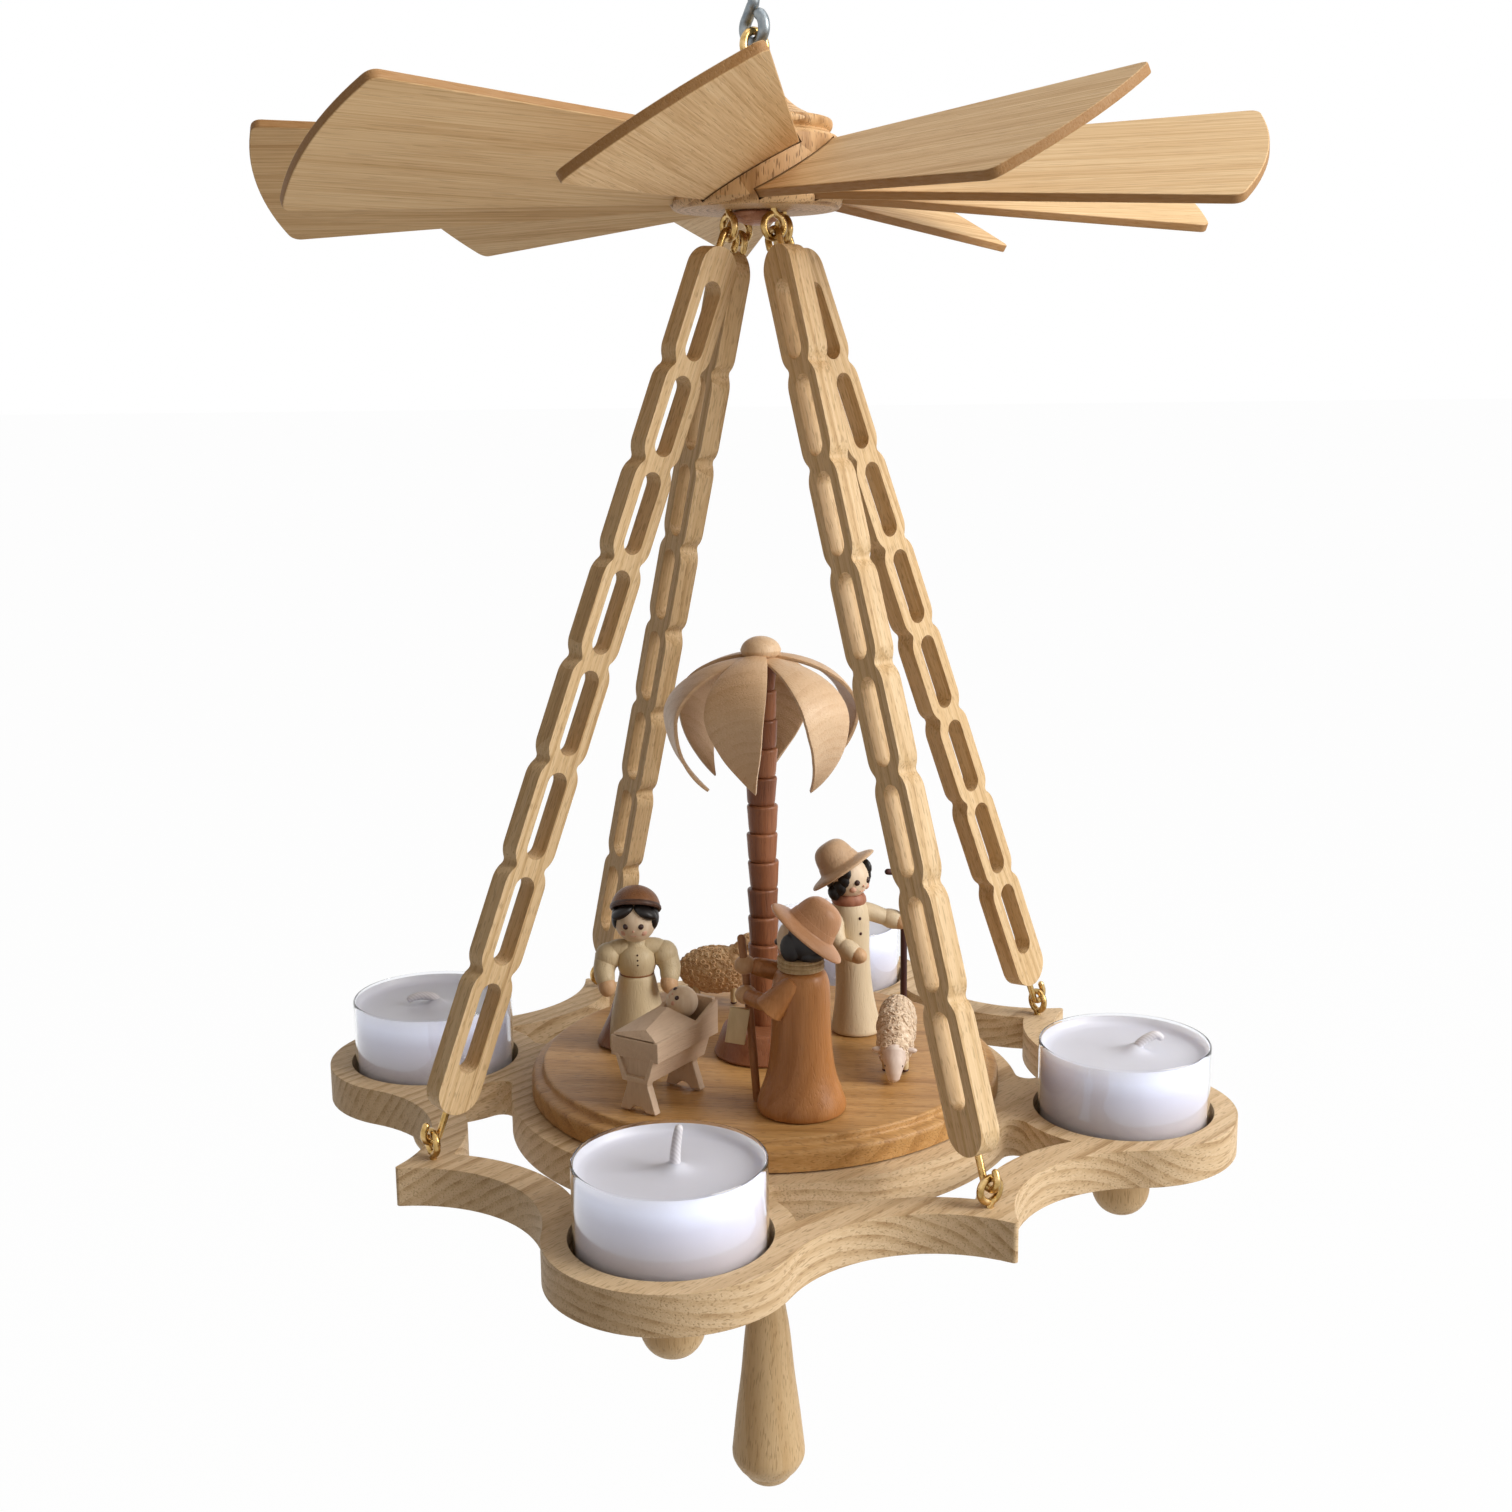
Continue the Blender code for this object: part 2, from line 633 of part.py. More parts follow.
def make_swivel():
    """The brass hook's loop lies square to the steel eye, and its stem runs down through the hub."""
    frame = radial_frame(hanger_eye_turn - quarter_turn)
    swing = joint_point("hook_swing_axis", Matrix.Translation((0, 0, swing_z)) @ frame)
    loop = (0.0, swivel_loop_z)
    bend_z = swivel_loop_z - swivel_loop_radius - swivel_rise * swivel_bend_share
    points = [(0.0, stem_end_z), (0.0, bend_z)]
    points += arc(loop, swivel_loop_radius, -quarter_turn + swivel_loop_start,
                  half_turn + swivel_loop_end, 11)
    hook = wire("swivel_hook", [(x, 0.0, z) for x, z in points], swivel_wire_radius, "brass", frame)
    rest_on(swing, hook)

    inner = swivel_wire_radius + fit_gap
    waist = bearing_radius - bearing_groove_depth
    profile = [(bearing_radius, bearing_top_z), (bearing_radius, bearing_top_z - bearing_height / 3),
               (waist, bearing_top_z - bearing_height / 3), (waist, bearing_base_z + bearing_height / 3),
               (bearing_radius, bearing_base_z + bearing_height / 3), (bearing_radius, bearing_base_z),
               (inner, bearing_base_z), (inner, bearing_top_z)]
    rest_on(swing, turned("thrust_bearing", profile, "bearing_steel"))

    hexagon = arc((0, 0), nut_radius, 0, full_turn * 5 / 6, 5)
    bore = arc((0, 0), inner, 0, full_turn * 11 / 12, 11)
    frame = Matrix.Translation((0, 0, nut_base_z + nut_height / 2))
    rest_on(swing, flat_board("spindle_nut", [hexagon, bore], nut_height, "brass", frame))


def make_hub(spin):
    profile = [(radius * hub_radius, hub_base_z + share * hub_height)
               for radius, share in hub_profile_shares]
    profile += [(hub_pocket_radius, hub_base_z), (hub_pocket_radius, pocket_top_z),
                (stem_bore_radius, pocket_top_z), (stem_bore_radius, bush_seat_z),
                (bush_radius + fit_gap, bush_seat_z), (bush_radius + fit_gap, hub_top_z)]
    hub = turned("hub", profile, "turned_beech", steps=fine_steps)
    for index in range(arm_count):
        foot = polar(hub_eye_circle_radius, corner_turn(index), hub_base_z)
        cut(hub, rod("hub_eye_bore", foot - Vector((0, 0, cut_overrun)),
                     foot + Vector((0, 0, shank_bore_depth)), shank_bore_radius))
    for index in range(vane_count):
        cut(hub, vane_board("vane_slot", index, fit_gap))
    rest_on(spin, hub)

    inner = swivel_wire_radius + fit_gap
    bush_base_z = bush_seat_z + fit_gap
    profile = [(bush_radius, hub_top_z), (bush_radius, bush_base_z), (inner, bush_base_z),
               (inner, hub_top_z)]
    rest_on(spin, turned("hub_bush", profile, "brass"))

    seat_z = hub_base_z - fit_gap
    spigot = hub_pocket_radius - fit_gap
    profile = [(0, hub_base_z + plug_spigot_length), (spigot, hub_base_z + plug_spigot_length),
               (spigot, seat_z)]
    profile += [(plug_radius * math.sin(turn), seat_z - plug_drop * math.cos(turn))
                for turn in (quarter_turn * share / 4 for share in (4, 3, 2, 1, 0))]
    rest_on(spin, turned("hub_plug", profile, "rosy_beech"))


def vane_outline(gap):
    """Half widths grow from the root to the tip, and the tip is a shallow arc with round corners."""
    low = (vane_corner_radius, -vane_tip_low - gap)
    high = (vane_corner_radius, vane_tip_high + gap)
    chord = high[1] - low[1]
    radius = (chord ** 2 / 4 + vane_bulge ** 2) / (2 * vane_bulge)
    spread = math.asin(chord / 2 / radius)
    middle = (low[1] + high[1]) / 2
    tip = arc((vane_corner_radius + vane_bulge - radius, middle), radius, -spread, spread, 6)
    root = vane_root_radius - gap
    corners = [(root, -vane_root_low - gap), low, high, (root, vane_root_high + gap)]
    return ([corners[0]] + round_corner(corners[0], low, tip[1], vane_corner_round) + tip[1:-1]
            + round_corner(tip[-2], high, corners[3], vane_corner_round) + [corners[3]])


def vane_board(name, index, gap, look=None):
    turn = vane_first_turn + full_turn * index / vane_count
    frame = radial_frame(turn, vane_z) @ Matrix.Rotation(vane_pitch, 4, "X")
    return flat_board(name, [vane_outline(gap)], vane_thickness + 2 * gap, look, frame)


def make_vanes(spin):
    for index in range(vane_count):
        rest_on(spin, vane_board(f"vane_{index + 1}", index, 0.0, "vane_wood"))


def make_screw_eye(name, frame, side):
    """A closed ring in the frame's YZ plane, with its shank up (1) or down (-1)."""
    ring = [(screw_eye_radius + screw_wire_radius * math.cos(turn), screw_wire_radius * math.sin(turn))
            for turn in (quarter_turn - full_turn * index / 6 for index in range(6))]
    eye = turned(name, ring, "brass", frame @ Matrix.Rotation(quarter_turn, 4, "Y"))
    top = screw_eye_radius + screw_wire_radius + screw_eye_neck + screw_shank_length
    shank = rod(f"{name}_shank", (0, 0, side * screw_eye_radius), (0, 0, side * top),
                screw_wire_radius, matrix=frame)
    return join(eye, [shank])


def make_hub_eyes(spin):
    for index in range(arm_count):
        frame = radial_frame(corner_turn(index)) @ Matrix.Translation((hub_eye_circle_radius, 0, hub_eye_z))
        rest_on(spin, make_screw_eye(f"hub_eye_{index + 1}", frame, 1))


def arm_lobes():
    """(middle, half width, reach to the end arcs' centres) of each lobe, from the top end down."""
    lobes = []
    middle = -arm_first_lobe
    for index in range(arm_lobe_count):
        pitch = arm_lobe_pitch * arm_growth_share ** index
        radius = arm_lobe_width / 2 * arm_width_growth_share ** index
        lobes.append((middle, radius, pitch * arm_lobe_length_share / 2 - radius))
        middle -= pitch
    return lobes


def arm_outline():
    """A chain of round-ended lobes. It is drawn with its top end at zero, along -Y."""
    lobes = arm_lobes()
    radius = lobes[0][1]
    points = arc((0, -radius), radius, quarter_turn, 0, 4)
    for (middle, radius, reach), (next_middle, next_radius, next_reach) in zip(lobes, lobes[1:]):
        above = (0.0, middle - reach)
        below = (0.0, next_middle + next_reach)
        waist = circles_meet(above, radius, below, next_radius, 1)
        points += arc(above, radius, 0, direction(above, waist), 2)
        points += arc(below, next_radius, direction(below, waist), 0, 2)
    radius = lobes[-1][1]
    points += arc((0, radius - arm_length), radius, 0, -quarter_turn, 4)
    return points + [(-x, y) for x, y in reversed(points[1:-1])]


def arm_slots():
    slots = []
    for index, (middle, _, _) in enumerate(arm_lobes()):
        radius = arm_slot_width / 2 * arm_width_growth_share ** index
        reach = arm_slot_length / 2 * arm_growth_share ** index - radius
        slots.append(arc((0, middle + reach), radius, 0, half_turn, 2)
                     + arc((0, middle - reach), radius, half_turn, full_turn, 2))
    return slots


def make_arms(spin):
    """Each arm hangs from the hub eye by its top hook, and its bottom hook holds the plate eye.
    Its frame has its origin at the top hook's bend, X outwards and Z up along the arm."""
    top_end = -screw_hook_reach
    bottom_end = top_end - arm_length
    for index in range(arm_count):
        turn = corner_turn(index)
        bend = Matrix.Translation((hub_eye_circle_radius, 0, top_hook_z))
        frame = radial_frame(turn) @ bend @ Matrix.Rotation(-arm_lean, 4, "Y")
        pivot = joint_point(f"arm_{index + 1}_axis", radial_frame(turn)
                            @ Matrix.Translation((hub_eye_circle_radius, 0, arm_pivot_z)))
        rest_on(spin, pivot)

        board = frame @ Matrix.Translation((screw_hook_radius, 0, top_end))
        arm = flat_board(f"arm_{index + 1}", [arm_outline()] + arm_slots(), arm_thickness, "arm_wood",
                         board @ Matrix.Rotation(quarter_turn, 4, "X"))
        bores = ((cut_overrun, -shank_bore_depth),
                 (shank_bore_depth - arm_length, -arm_length - cut_overrun))
        for start, end in bores:
            cut(arm, rod("arm_bore", (0, 0, start), (0, 0, end), shank_bore_radius, matrix=board))
        rest_on(pivot, arm)

        bend = (0.0, 0.0)
        points = [(screw_hook_radius, top_end - screw_shank_length)]
        points += arc(bend, screw_hook_radius, 0, half_turn, 8)
        points.append((-screw_hook_radius, -screw_hook_lip))
        hook = wire(f"arm_top_hook_{index + 1}", [(x, 0.0, z) for x, z in points], screw_wire_radius,
                    "brass", frame)
        rest_on(pivot, hook)

        bend = (link_offset, bottom_end - low_hook_reach)
        points = [(screw_hook_radius, bottom_end + screw_shank_length)]
        points += arc(bend, screw_hook_radius, half_turn, full_turn, 8)
        points.append((bend[0] + screw_hook_radius, bend[1] + screw_hook_lip))
        hook = wire(f"arm_bottom_hook_{index + 1}", [(x, 0.0, z) for x, z in points],
                    screw_wire_radius, "brass", frame)
        rest_on(pivot, hook)


def plate_corner():
    """One quarter of the plate's outline, in a frame with X through the corner, and its opening."""
    turn = quarter_turn / 2
    lobe = (candle_circle_radius * math.cos(turn), candle_circle_radius * math.sin(turn))
    curve = circles_meet((corner_circle_radius, 0), corner_curve_radius, lobe,
                         corner_curve_radius + lobe_radius, -1)
    round_x = curve[0] - math.sqrt((corner_curve_radius + corner_round) ** 2 - curve[1] ** 2)
    tip = arc((round_x, 0), corner_round, 0, direction((round_x, 0), curve), 2)
    side = arc(curve, corner_curve_radius, direction(curve, (round_x, 0)) + full_turn,
               direction(curve, lobe), 6)
    lobe_start = direction(lobe, curve)
    lobe_end = quarter_turn - lobe_start
    round_the_lobe = arc(lobe, lobe_radius, lobe_start, lobe_end, 12)
    outer = mirrored(side) + mirrored(tip)[:-1] + tip[:-1] + side + round_the_lobe[1:-1]

    inner_radius = corner_curve_radius + corner_band_width
    point = (curve[0] - math.sqrt(inner_radius ** 2 - curve[1] ** 2), 0.0)
    side_end = circles_meet(curve, inner_radius, lobe, opening_lobe_radius, 1)
    if side_end[0] > lobe[0] + opening_lobe_radius or side_end[1] < 0:
        side_end = circles_meet(curve, inner_radius, lobe, opening_lobe_radius, -1)
    fillet = circles_meet((0, 0), plate_disc_radius + opening_fillet, lobe,
                          opening_lobe_radius + opening_fillet, -1)
    half = arc(curve, inner_radius, direction(curve, point) + full_turn,
               direction(curve, side_end) + full_turn * (direction(curve, side_end) < 0), 5)
    half += arc(lobe, opening_lobe_radius, direction(lobe, side_end), direction(lobe, fillet), 4)[1:]
    half += arc(fillet, opening_fillet, direction(fillet, lobe),
                direction(fillet, (0, 0)) + full_turn, 2)[1:]
    half += arc((0, 0), plate_disc_radius, direction((0, 0), fillet), 0.0, 4)[1:]
    opening = half[1:-1] + [half[-1]] + mirrored(half[1:-1]) + [half[0]]
    return outer, opening


def make_plate(gondola):
    outer, opening = plate_corner()
    outline = []
    openings = []
    for index in range(arm_count):
        outline += turned_points(outer, corner_turn(index))
        openings.append(turned_points(opening, corner_turn(index)))
    middle = Matrix.Translation((0, 0, plate_top_z - plate_thickness / 2))
    plate = flat_board("base_plate", [outline] + openings, plate_thickness, "plate_wood", middle)
    for index in range(arm_count):
        recess = polar(candle_circle_radius, candle_turn(index), recess_floor_z)
        cut(plate, rod("candle_recess", recess, recess + Vector((0, 0, candle_recess_depth + cut_overrun)),
                       candle_recess_radius, steps=fine_steps))
        under = polar(candle_circle_radius, candle_turn(index), plate_base_z)
        cut(plate, rod("knob_bore", under - Vector((0, 0, cut_overrun)),
                       under + Vector((0, 0, knob_spigot_length + fit_gap)), knob_spigot_radius + fit_gap))
        foot = polar(plate_eye_circle_radius, corner_turn(index), plate_top_z)
        cut(plate, rod("plate_eye_bore", foot + Vector((0, 0, cut_overrun)),
                       foot - Vector((0, 0, shank_bore_depth)), shank_bore_radius))
    under = Vector((0, 0, plate_base_z))
    cut(plate, rod("finial_bore", under - Vector((0, 0, cut_overrun)),
                   under + Vector((0, 0, finial_spigot_length + fit_gap)), finial_spigot_radius + fit_gap,
                   steps=small_steps))
    rest_on(gondola, plate)

    for index in range(arm_count):
        frame = radial_frame(corner_turn(index))
        frame = frame @ Matrix.Translation((plate_eye_circle_radius, 0, plate_eye_z))
        rest_on(gondola, make_screw_eye(f"plate_eye_{index + 1}", frame, -1))


def make_platform(gondola):
    profile = [(0, platform_top_z)]
    profile += [(platform_radius * radius, platform_base_z + platform_thickness * share)
                for radius, share in platform_profile_shares]
    profile.append((0, platform_base_z))
    platform = turned("platform", profile, "platform_wood", steps=platform_steps)
    cut(platform, rod("palm_bore", (0, 0, platform_top_z + cut_overrun),
                      (0, 0, platform_top_z - palm_spigot_length), palm_spigot_radius + fit_gap))
    rest_on(gondola, platform)


def hung_profile(top_z, radius, length, shares, spigot_radius, spigot_length):
    """A turned drop below top_z, with a spigot above it."""
    return ([(0, top_z + spigot_length), (spigot_radius, top_z + spigot_length), (spigot_radius, top_z)]
            + [(radius * width, top_z - length * drop) for width, drop in shares]
            + [(0, top_z - length)])


def make_drops(gondola):
    """The finial under the middle of the plate, and a knob under each candle."""
    seat_z = plate_base_z - fit_gap
    profile = hung_profile(seat_z, finial_radius, finial_length, finial_profile_shares,
                           finial_spigot_radius, finial_spigot_length)
    rest_on(gondola, turned("finial", profile, "finial_wood", steps=round_steps))
    profile = hung_profile(seat_z, knob_radius, knob_length, knob_profile_shares, knob_spigot_radius,
                           knob_spigot_length)
    for index in range(arm_count):
        place = Matrix.Translation(polar(candle_circle_radius, candle_turn(index), 0))
        rest_on(gondola, turned(f"lobe_knob_{index + 1}", profile, "finial_wood", place))


def make_candles(gondola):
    inner = cup_radius - cup_wall
    cup = [(0, cup_base_z + cup_wall), (inner, cup_base_z + cup_wall), (inner, cup_base_z + cup_height),
           (cup_radius, cup_base_z + cup_height), (cup_radius, cup_base_z), (0, cup_base_z)]
    wax = [(0, wax_top_z + wax_cone_height), (wick_radius, wax_top_z + wax_cone_height),
           (wax_cone_radius * wax_cone_shoulder_share, wax_top_z + wax_cone_height * wax_cone_foot_share),
           (wax_cone_radius, wax_top_z),
           (wax_radius, wax_top_z), (wax_radius, wax_base_z), (0, wax_base_z)]
    for index in range(arm_count):
        turn = candle_turn(index)
        frame = Matrix.Translation(polar(candle_circle_radius, turn, 0))
        lift = joint_point(f"candle_{index + 1}_axis",
                           Matrix.Translation(polar(candle_circle_radius, turn, cup_base_z)))
        rest_on(gondola, lift)
        rest_on(lift, turned(f"candle_cup_{index + 1}", cup, "clear_cup", frame, fine_steps))
        candle = turned(f"candle_wax_{index + 1}", wax, "wax", frame, round_steps)
        lean = wick_leans[index]
        foot = Vector((0, 0, wax_top_z))
        bend = foot + Vector((0, 0, (wax_cone_height + wick_height) / 2))
        top = bend + Vector((math.sin(lean), 0, math.cos(lean))) * wick_height / 2
        wick = wire(f"wick_{index + 1}", [foot, bend, top], wick_radius, None, frame)
        join(candle, [to_mesh(wick, None)])
        rest_on(lift, candle)


def make_palm(gondola):
    trunk_top_z = figure_base_z + palm_trunk_height
    foot_top_z = figure_base_z + palm_foot_height
    ring_step = (trunk_top_z - foot_top_z) / palm_ring_count
    neck = palm_trunk_radius * palm_ring_neck_share
    profile = [(0, trunk_top_z)]
    for index in range(palm_ring_count):
        top_z = trunk_top_z - index * ring_step
        profile += [(palm_trunk_radius, top_z), (neck, top_z - ring_step * palm_ring_waist_share)]
    shoulder = palm_foot_radius * palm_foot_shoulder_share
    profile += [(palm_trunk_radius, foot_top_z), (shoulder, foot_top_z - fit_gap)]
    profile += [(palm_foot_radius, figure_base_z), (palm_spigot_radius, figure_base_z)]
    spigot_z = figure_base_z - palm_spigot_length
    profile += [(palm_spigot_radius, spigot_z), (0, spigot_z)]
    rest_on(gondola, turned("palm_trunk", profile, "palm_brown"))

    crown_z = trunk_top_z + fit_gap
    root_z = crown_z + 2 * palm_leaf_thickness
    cap_z = crown_z + palm_cap_height / 2
    crown = ball("palm_crown", (0, 0, cap_z), (palm_cap_radius, palm_cap_radius, palm_cap_height / 2),
                 "leaf_wood")
    leaves = [palm_leaf(index, root_z) for index in range(palm_leaf_count)]
    rest_on(gondola, join(crown, leaves))


def palm_leaf(index, root_z):
    """A drooping strip, widest at the shoulder, whose tip is cut on the slant."""
    turn = palm_first_leaf_turn + full_turn * index / palm_leaf_count
    sink = palm_leaf_thickness * (index % 2)
    shoulder_z = root_z - palm_leaf_shoulder - sink

    def build(body):
        rows = []
        for width_share, along_share in palm_leaf_shares:
            row = []
            for side in (-1, 0, 1):
                tip = max(0.0, along_share - palm_slant_start_share) / (1 - palm_slant_start_share)
                slant = palm_leaf_slant_share * side * tip
                bend = quarter_turn * palm_leaf_bend_share * (along_share + slant)
                height = palm_leaf_shoulder if bend < quarter_turn else palm_leaf_drop
                out = palm_leaf_reach * math.sin(bend)
                up = shoulder_z + height * math.cos(bend)
                across = side * width_share * palm_leaf_half_width
                row.append(body.verts.new((out, across, up - abs(across) * palm_leaf_cup_share)))
            rows.append(row)
        for first, second in zip(rows, rows[1:]):
            for left in (0, 1):
                body.faces.new((first[left], second[left], second[left + 1], first[left + 1]))

    leaf = bmesh_object(f"leaf_{index + 1}", build, matrix=radial_frame(turn))
    shell = leaf.modifiers.new("thickness", "SOLIDIFY")
    shell.thickness = palm_leaf_thickness
    shell.offset = 0.0
    return leaf


def figure_frame(place_share, turn):
    place = (platform_radius * place_share[0], platform_radius * place_share[1], figure_base_z)
    return Matrix.Translation(place) @ Matrix.Rotation(turn, 4, "Z")


def scaled(shares, size):
    return tuple(share * size for share in shares)


def turned_figure(name, height, shares, frame, look):
    profile = [(0, shares[0][1] * height + shares[0][0] * height * figure_crown_share)]
    profile += [(radius * height, level * height) for radius, level in shares]
    profile.append((0, shares[-1][1] * height))
    return turned(name, profile, look, frame)


def limbs(name, height, frame, bars, balls):
    """Bars are (start, end, radius) and balls (centre, radius), all as shares of the height."""
    made = []
    for start, end, radius in bars:
        made.append(rod(f"{name}_bar", scaled(start, height), scaled(end, height), radius * height,
                        matrix=frame))
    for centre, radius in balls:
        made.append(ball(f"{name}_ball", scaled(centre, height), (radius * height,) * 3, matrix=frame,
                         steps=ball_steps))
    return made


def tipped(turn, tilt):
    """A tilt that tips the Z axis over towards this direction."""
    return Matrix.Rotation(turn, 4, "Z") @ Matrix.Rotation(tilt, 4, "Y") @ Matrix.Rotation(-turn, 4, "Z")


def make_hat(name, height, frame, place_share, tip, size_share):
    size = height * size_share
    profile = [(0, hat_crown_share * size)]
    profile += [(radius * size, level * size) for radius, level in hat_profile_shares]
    profile.append((0, hat_profile_shares[-1][1] * size))
    place = Matrix.Translation(scaled(place_share, height)) @ tip
    return turned(name, profile, matrix=frame @ place)


def make_people(gondola):
    frame = figure_frame(woman_place_share, woman_turn)
    woman = turned_figure("woman_figure", woman_height, woman_profile_shares, frame, "figure_wood")
    rest_on(gondola, join(woman, limbs("woman", woman_height, frame, woman_bars_shares, woman_balls_shares)))

    height = lantern_man_height
    frame = figure_frame(lantern_man_place_share, lantern_man_turn)
    man = turned_figure("lantern_man_figure", height, lantern_man_profile_shares, frame, "cherry_wood")
    extras = limbs("lantern_man", height, frame, lantern_man_bars_shares, lantern_man_balls_shares)
    lantern = frame @ Matrix.Translation(scaled(lantern_place_share, height))
    extras.append(block("lantern", scaled(lantern_size_share, height), lantern))
    tip = tipped(lantern_man_hat_turn, lantern_man_hat_tilt)
    extras.append(make_hat("lantern_man_hat", height, frame, lantern_man_hat_share, tip,
                           lantern_man_hat_size_share))
    rest_on(gondola, join(man, extras))

    height = shepherd_height
    frame = figure_frame(shepherd_place_share, shepherd_turn)
    leaning = frame @ tipped(shepherd_lean_turn, shepherd_lean)
    shepherd = turned_figure("shepherd_figure", height, shepherd_hem_shares, frame, "figure_wood")
    extras = [turned_figure("shepherd_coat", height, shepherd_profile_shares, leaning, None)]
    extras.append(ball("shepherd_head", scaled(shepherd_head_share, height),
                       (shepherd_head_radius_share * height,) * 3, matrix=leaning))
    extras += limbs("shepherd", height, leaning, shepherd_bars_shares, shepherd_balls_shares)
    extras += limbs("shepherd_staff", height, frame, shepherd_staff_shares, ())
    tip = tipped(shepherd_hat_turn, shepherd_hat_tilt)
    extras.append(make_hat("shepherd_hat", height, leaning, shepherd_hat_share, tip,
                           shepherd_hat_size_share))
    rest_on(gondola, join(shepherd, extras))


def make_manger(gondola):
    """A trough with raised sides on two waisted leg boards. X runs along it."""
    frame = figure_frame(manger_place_share, manger_turn)
    across = frame @ Matrix.Rotation(quarter_turn, 4, "Z") @ Matrix.Rotation(quarter_turn, 4, "X")
    along = frame @ Matrix.Rotation(quarter_turn, 4, "X")

    def board(name, outline_shares, thickness, upright, shift, look=None):
        outline = [scaled(point, manger_height) for point in outline_shares]
        return flat_board(name, [outline], thickness, look, upright @ Matrix.Translation((0, 0, shift)))

    thickness = manger_height * manger_board_share
    trough = board("manger", trough_outline_shares, manger_length - thickness, across, 0.0, "pale_wood")
    extras = [board("manger_legs", manger_leg_outline_shares, manger_height * manger_leg_board_share,
                    across, manger_height * share) for share in manger_leg_places_share]
    extras += [board("manger_side", manger_side_outline_shares, thickness, along,
                     side * manger_height * manger_side_place_share) for side in (-1, 1)]
    outlines = (manger_foot_outline_shares, manger_head_outline_shares)
    extras += [board("manger_end", outline, thickness, across, manger_height * share)
               for outline, share in zip(outlines, manger_end_places_share)]
    rest_on(gondola, join(trough, extras))

    head = scaled(infant_head_share, manger_height)
    infant = ball("infant_figure", head, (infant_head_radius,) * 3, "pale_wood", matrix=frame)
    corners = [(x * manger_height, side * y * manger_height, z * manger_height)
               for x, y, z in blanket_half_shares for side in (-1, 1)]
    rest_on(gondola, join(infant, [hull("blanket", corners, frame)]))


def make_sheep(gondola):
    flock = (
        ("near_sheep", near_sheep_place_share, near_sheep_turn, near_sheep_head_shares,
         near_sheep_balls_shares),
        ("far_sheep", far_sheep_place_share, far_sheep_turn, far_sheep_head_shares, far_sheep_balls_shares),
    )
    for name, place_share, turn, head_shares, balls_shares in flock:
        frame = figure_frame(place_share, turn)
        size = scaled(sheep_body_size_share, sheep_length)
        back, front = [scaled(place, sheep_length) for place in sheep_body_places_share]
        body = ball(name, back, size, "wool", matrix=frame)
        extras = [ball(f"{name}_front", front, size, matrix=frame)]
        extras += limbs(name, sheep_length, frame, sheep_leg_shares + head_shares, balls_shares)
        rest_on(gondola, join(body, extras))


looks = {}
clear_scene()
pieces = new_collection("candle_carousel")
helpers = new_collection("cutters")
for look_name, (colour, roughness, metallic) in look_values.items():
    looks[look_name] = new_material(look_name, colour, roughness, metallic)

make_hanger()
make_swivel()
spin_axis = joint_point("carousel_spin_axis", Matrix.Translation((0, 0, hub_base_z)))
make_hub(spin_axis)
make_vanes(spin_axis)
make_hub_eyes(spin_axis)
make_arms(spin_axis)
gondola_axis = joint_point("gondola_twist_axis", Matrix.Translation((0, 0, plate_top_z)))
make_plate(gondola_axis)
make_platform(gondola_axis)
make_drops(gondola_axis)
make_candles(gondola_axis)
make_palm(gondola_axis)
make_people(gondola_axis)
make_manger(gondola_axis)
make_sheep(gondola_axis)
bpy.context.view_layer.update()
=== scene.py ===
import math

import bmesh
import bpy
from mathutils import Matrix, Vector


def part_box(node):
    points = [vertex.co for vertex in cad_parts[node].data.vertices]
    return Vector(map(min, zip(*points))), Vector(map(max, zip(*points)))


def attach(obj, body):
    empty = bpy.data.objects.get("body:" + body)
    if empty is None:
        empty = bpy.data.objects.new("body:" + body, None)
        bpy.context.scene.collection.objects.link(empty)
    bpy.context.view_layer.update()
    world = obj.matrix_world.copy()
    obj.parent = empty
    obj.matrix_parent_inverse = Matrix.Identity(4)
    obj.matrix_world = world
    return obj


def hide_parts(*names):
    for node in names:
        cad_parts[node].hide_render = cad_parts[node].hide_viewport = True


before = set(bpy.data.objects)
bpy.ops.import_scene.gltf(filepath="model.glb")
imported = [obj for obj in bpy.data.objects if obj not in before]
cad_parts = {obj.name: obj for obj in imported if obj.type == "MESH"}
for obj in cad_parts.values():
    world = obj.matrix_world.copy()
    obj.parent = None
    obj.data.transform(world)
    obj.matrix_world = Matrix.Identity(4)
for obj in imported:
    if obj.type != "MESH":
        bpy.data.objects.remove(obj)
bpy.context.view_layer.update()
print("frame loaded:", len(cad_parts), "nodes")

quarter = math.pi / 2
full = 2 * math.pi
cornerTurn = math.radians(-59.06)    # the first arm and plate corner, right front
candleTurn = math.radians(-104.06)   # the first candle, in front
hubBase = -0.0876
plateTop = -0.2869423
plateBase = plateTop - 0.0086
platformTop = plateTop + 0.0071
figureBase = platformTop + 0.0003
cupBase = plateTop - 0.0057          # the cups stand in the plate's recesses
platformRadius = 0.0550


# Small tools for meshes, nodes and pieces

def hexColour(code):
    parts = [int(code[place:place + 2], 16) / 255 for place in (1, 3, 5)]
    linear = [part / 12.92 if part <= 0.04045 else ((part + 0.055) / 1.055) ** 2.4 for part in parts]
    return (*linear, 1.0)


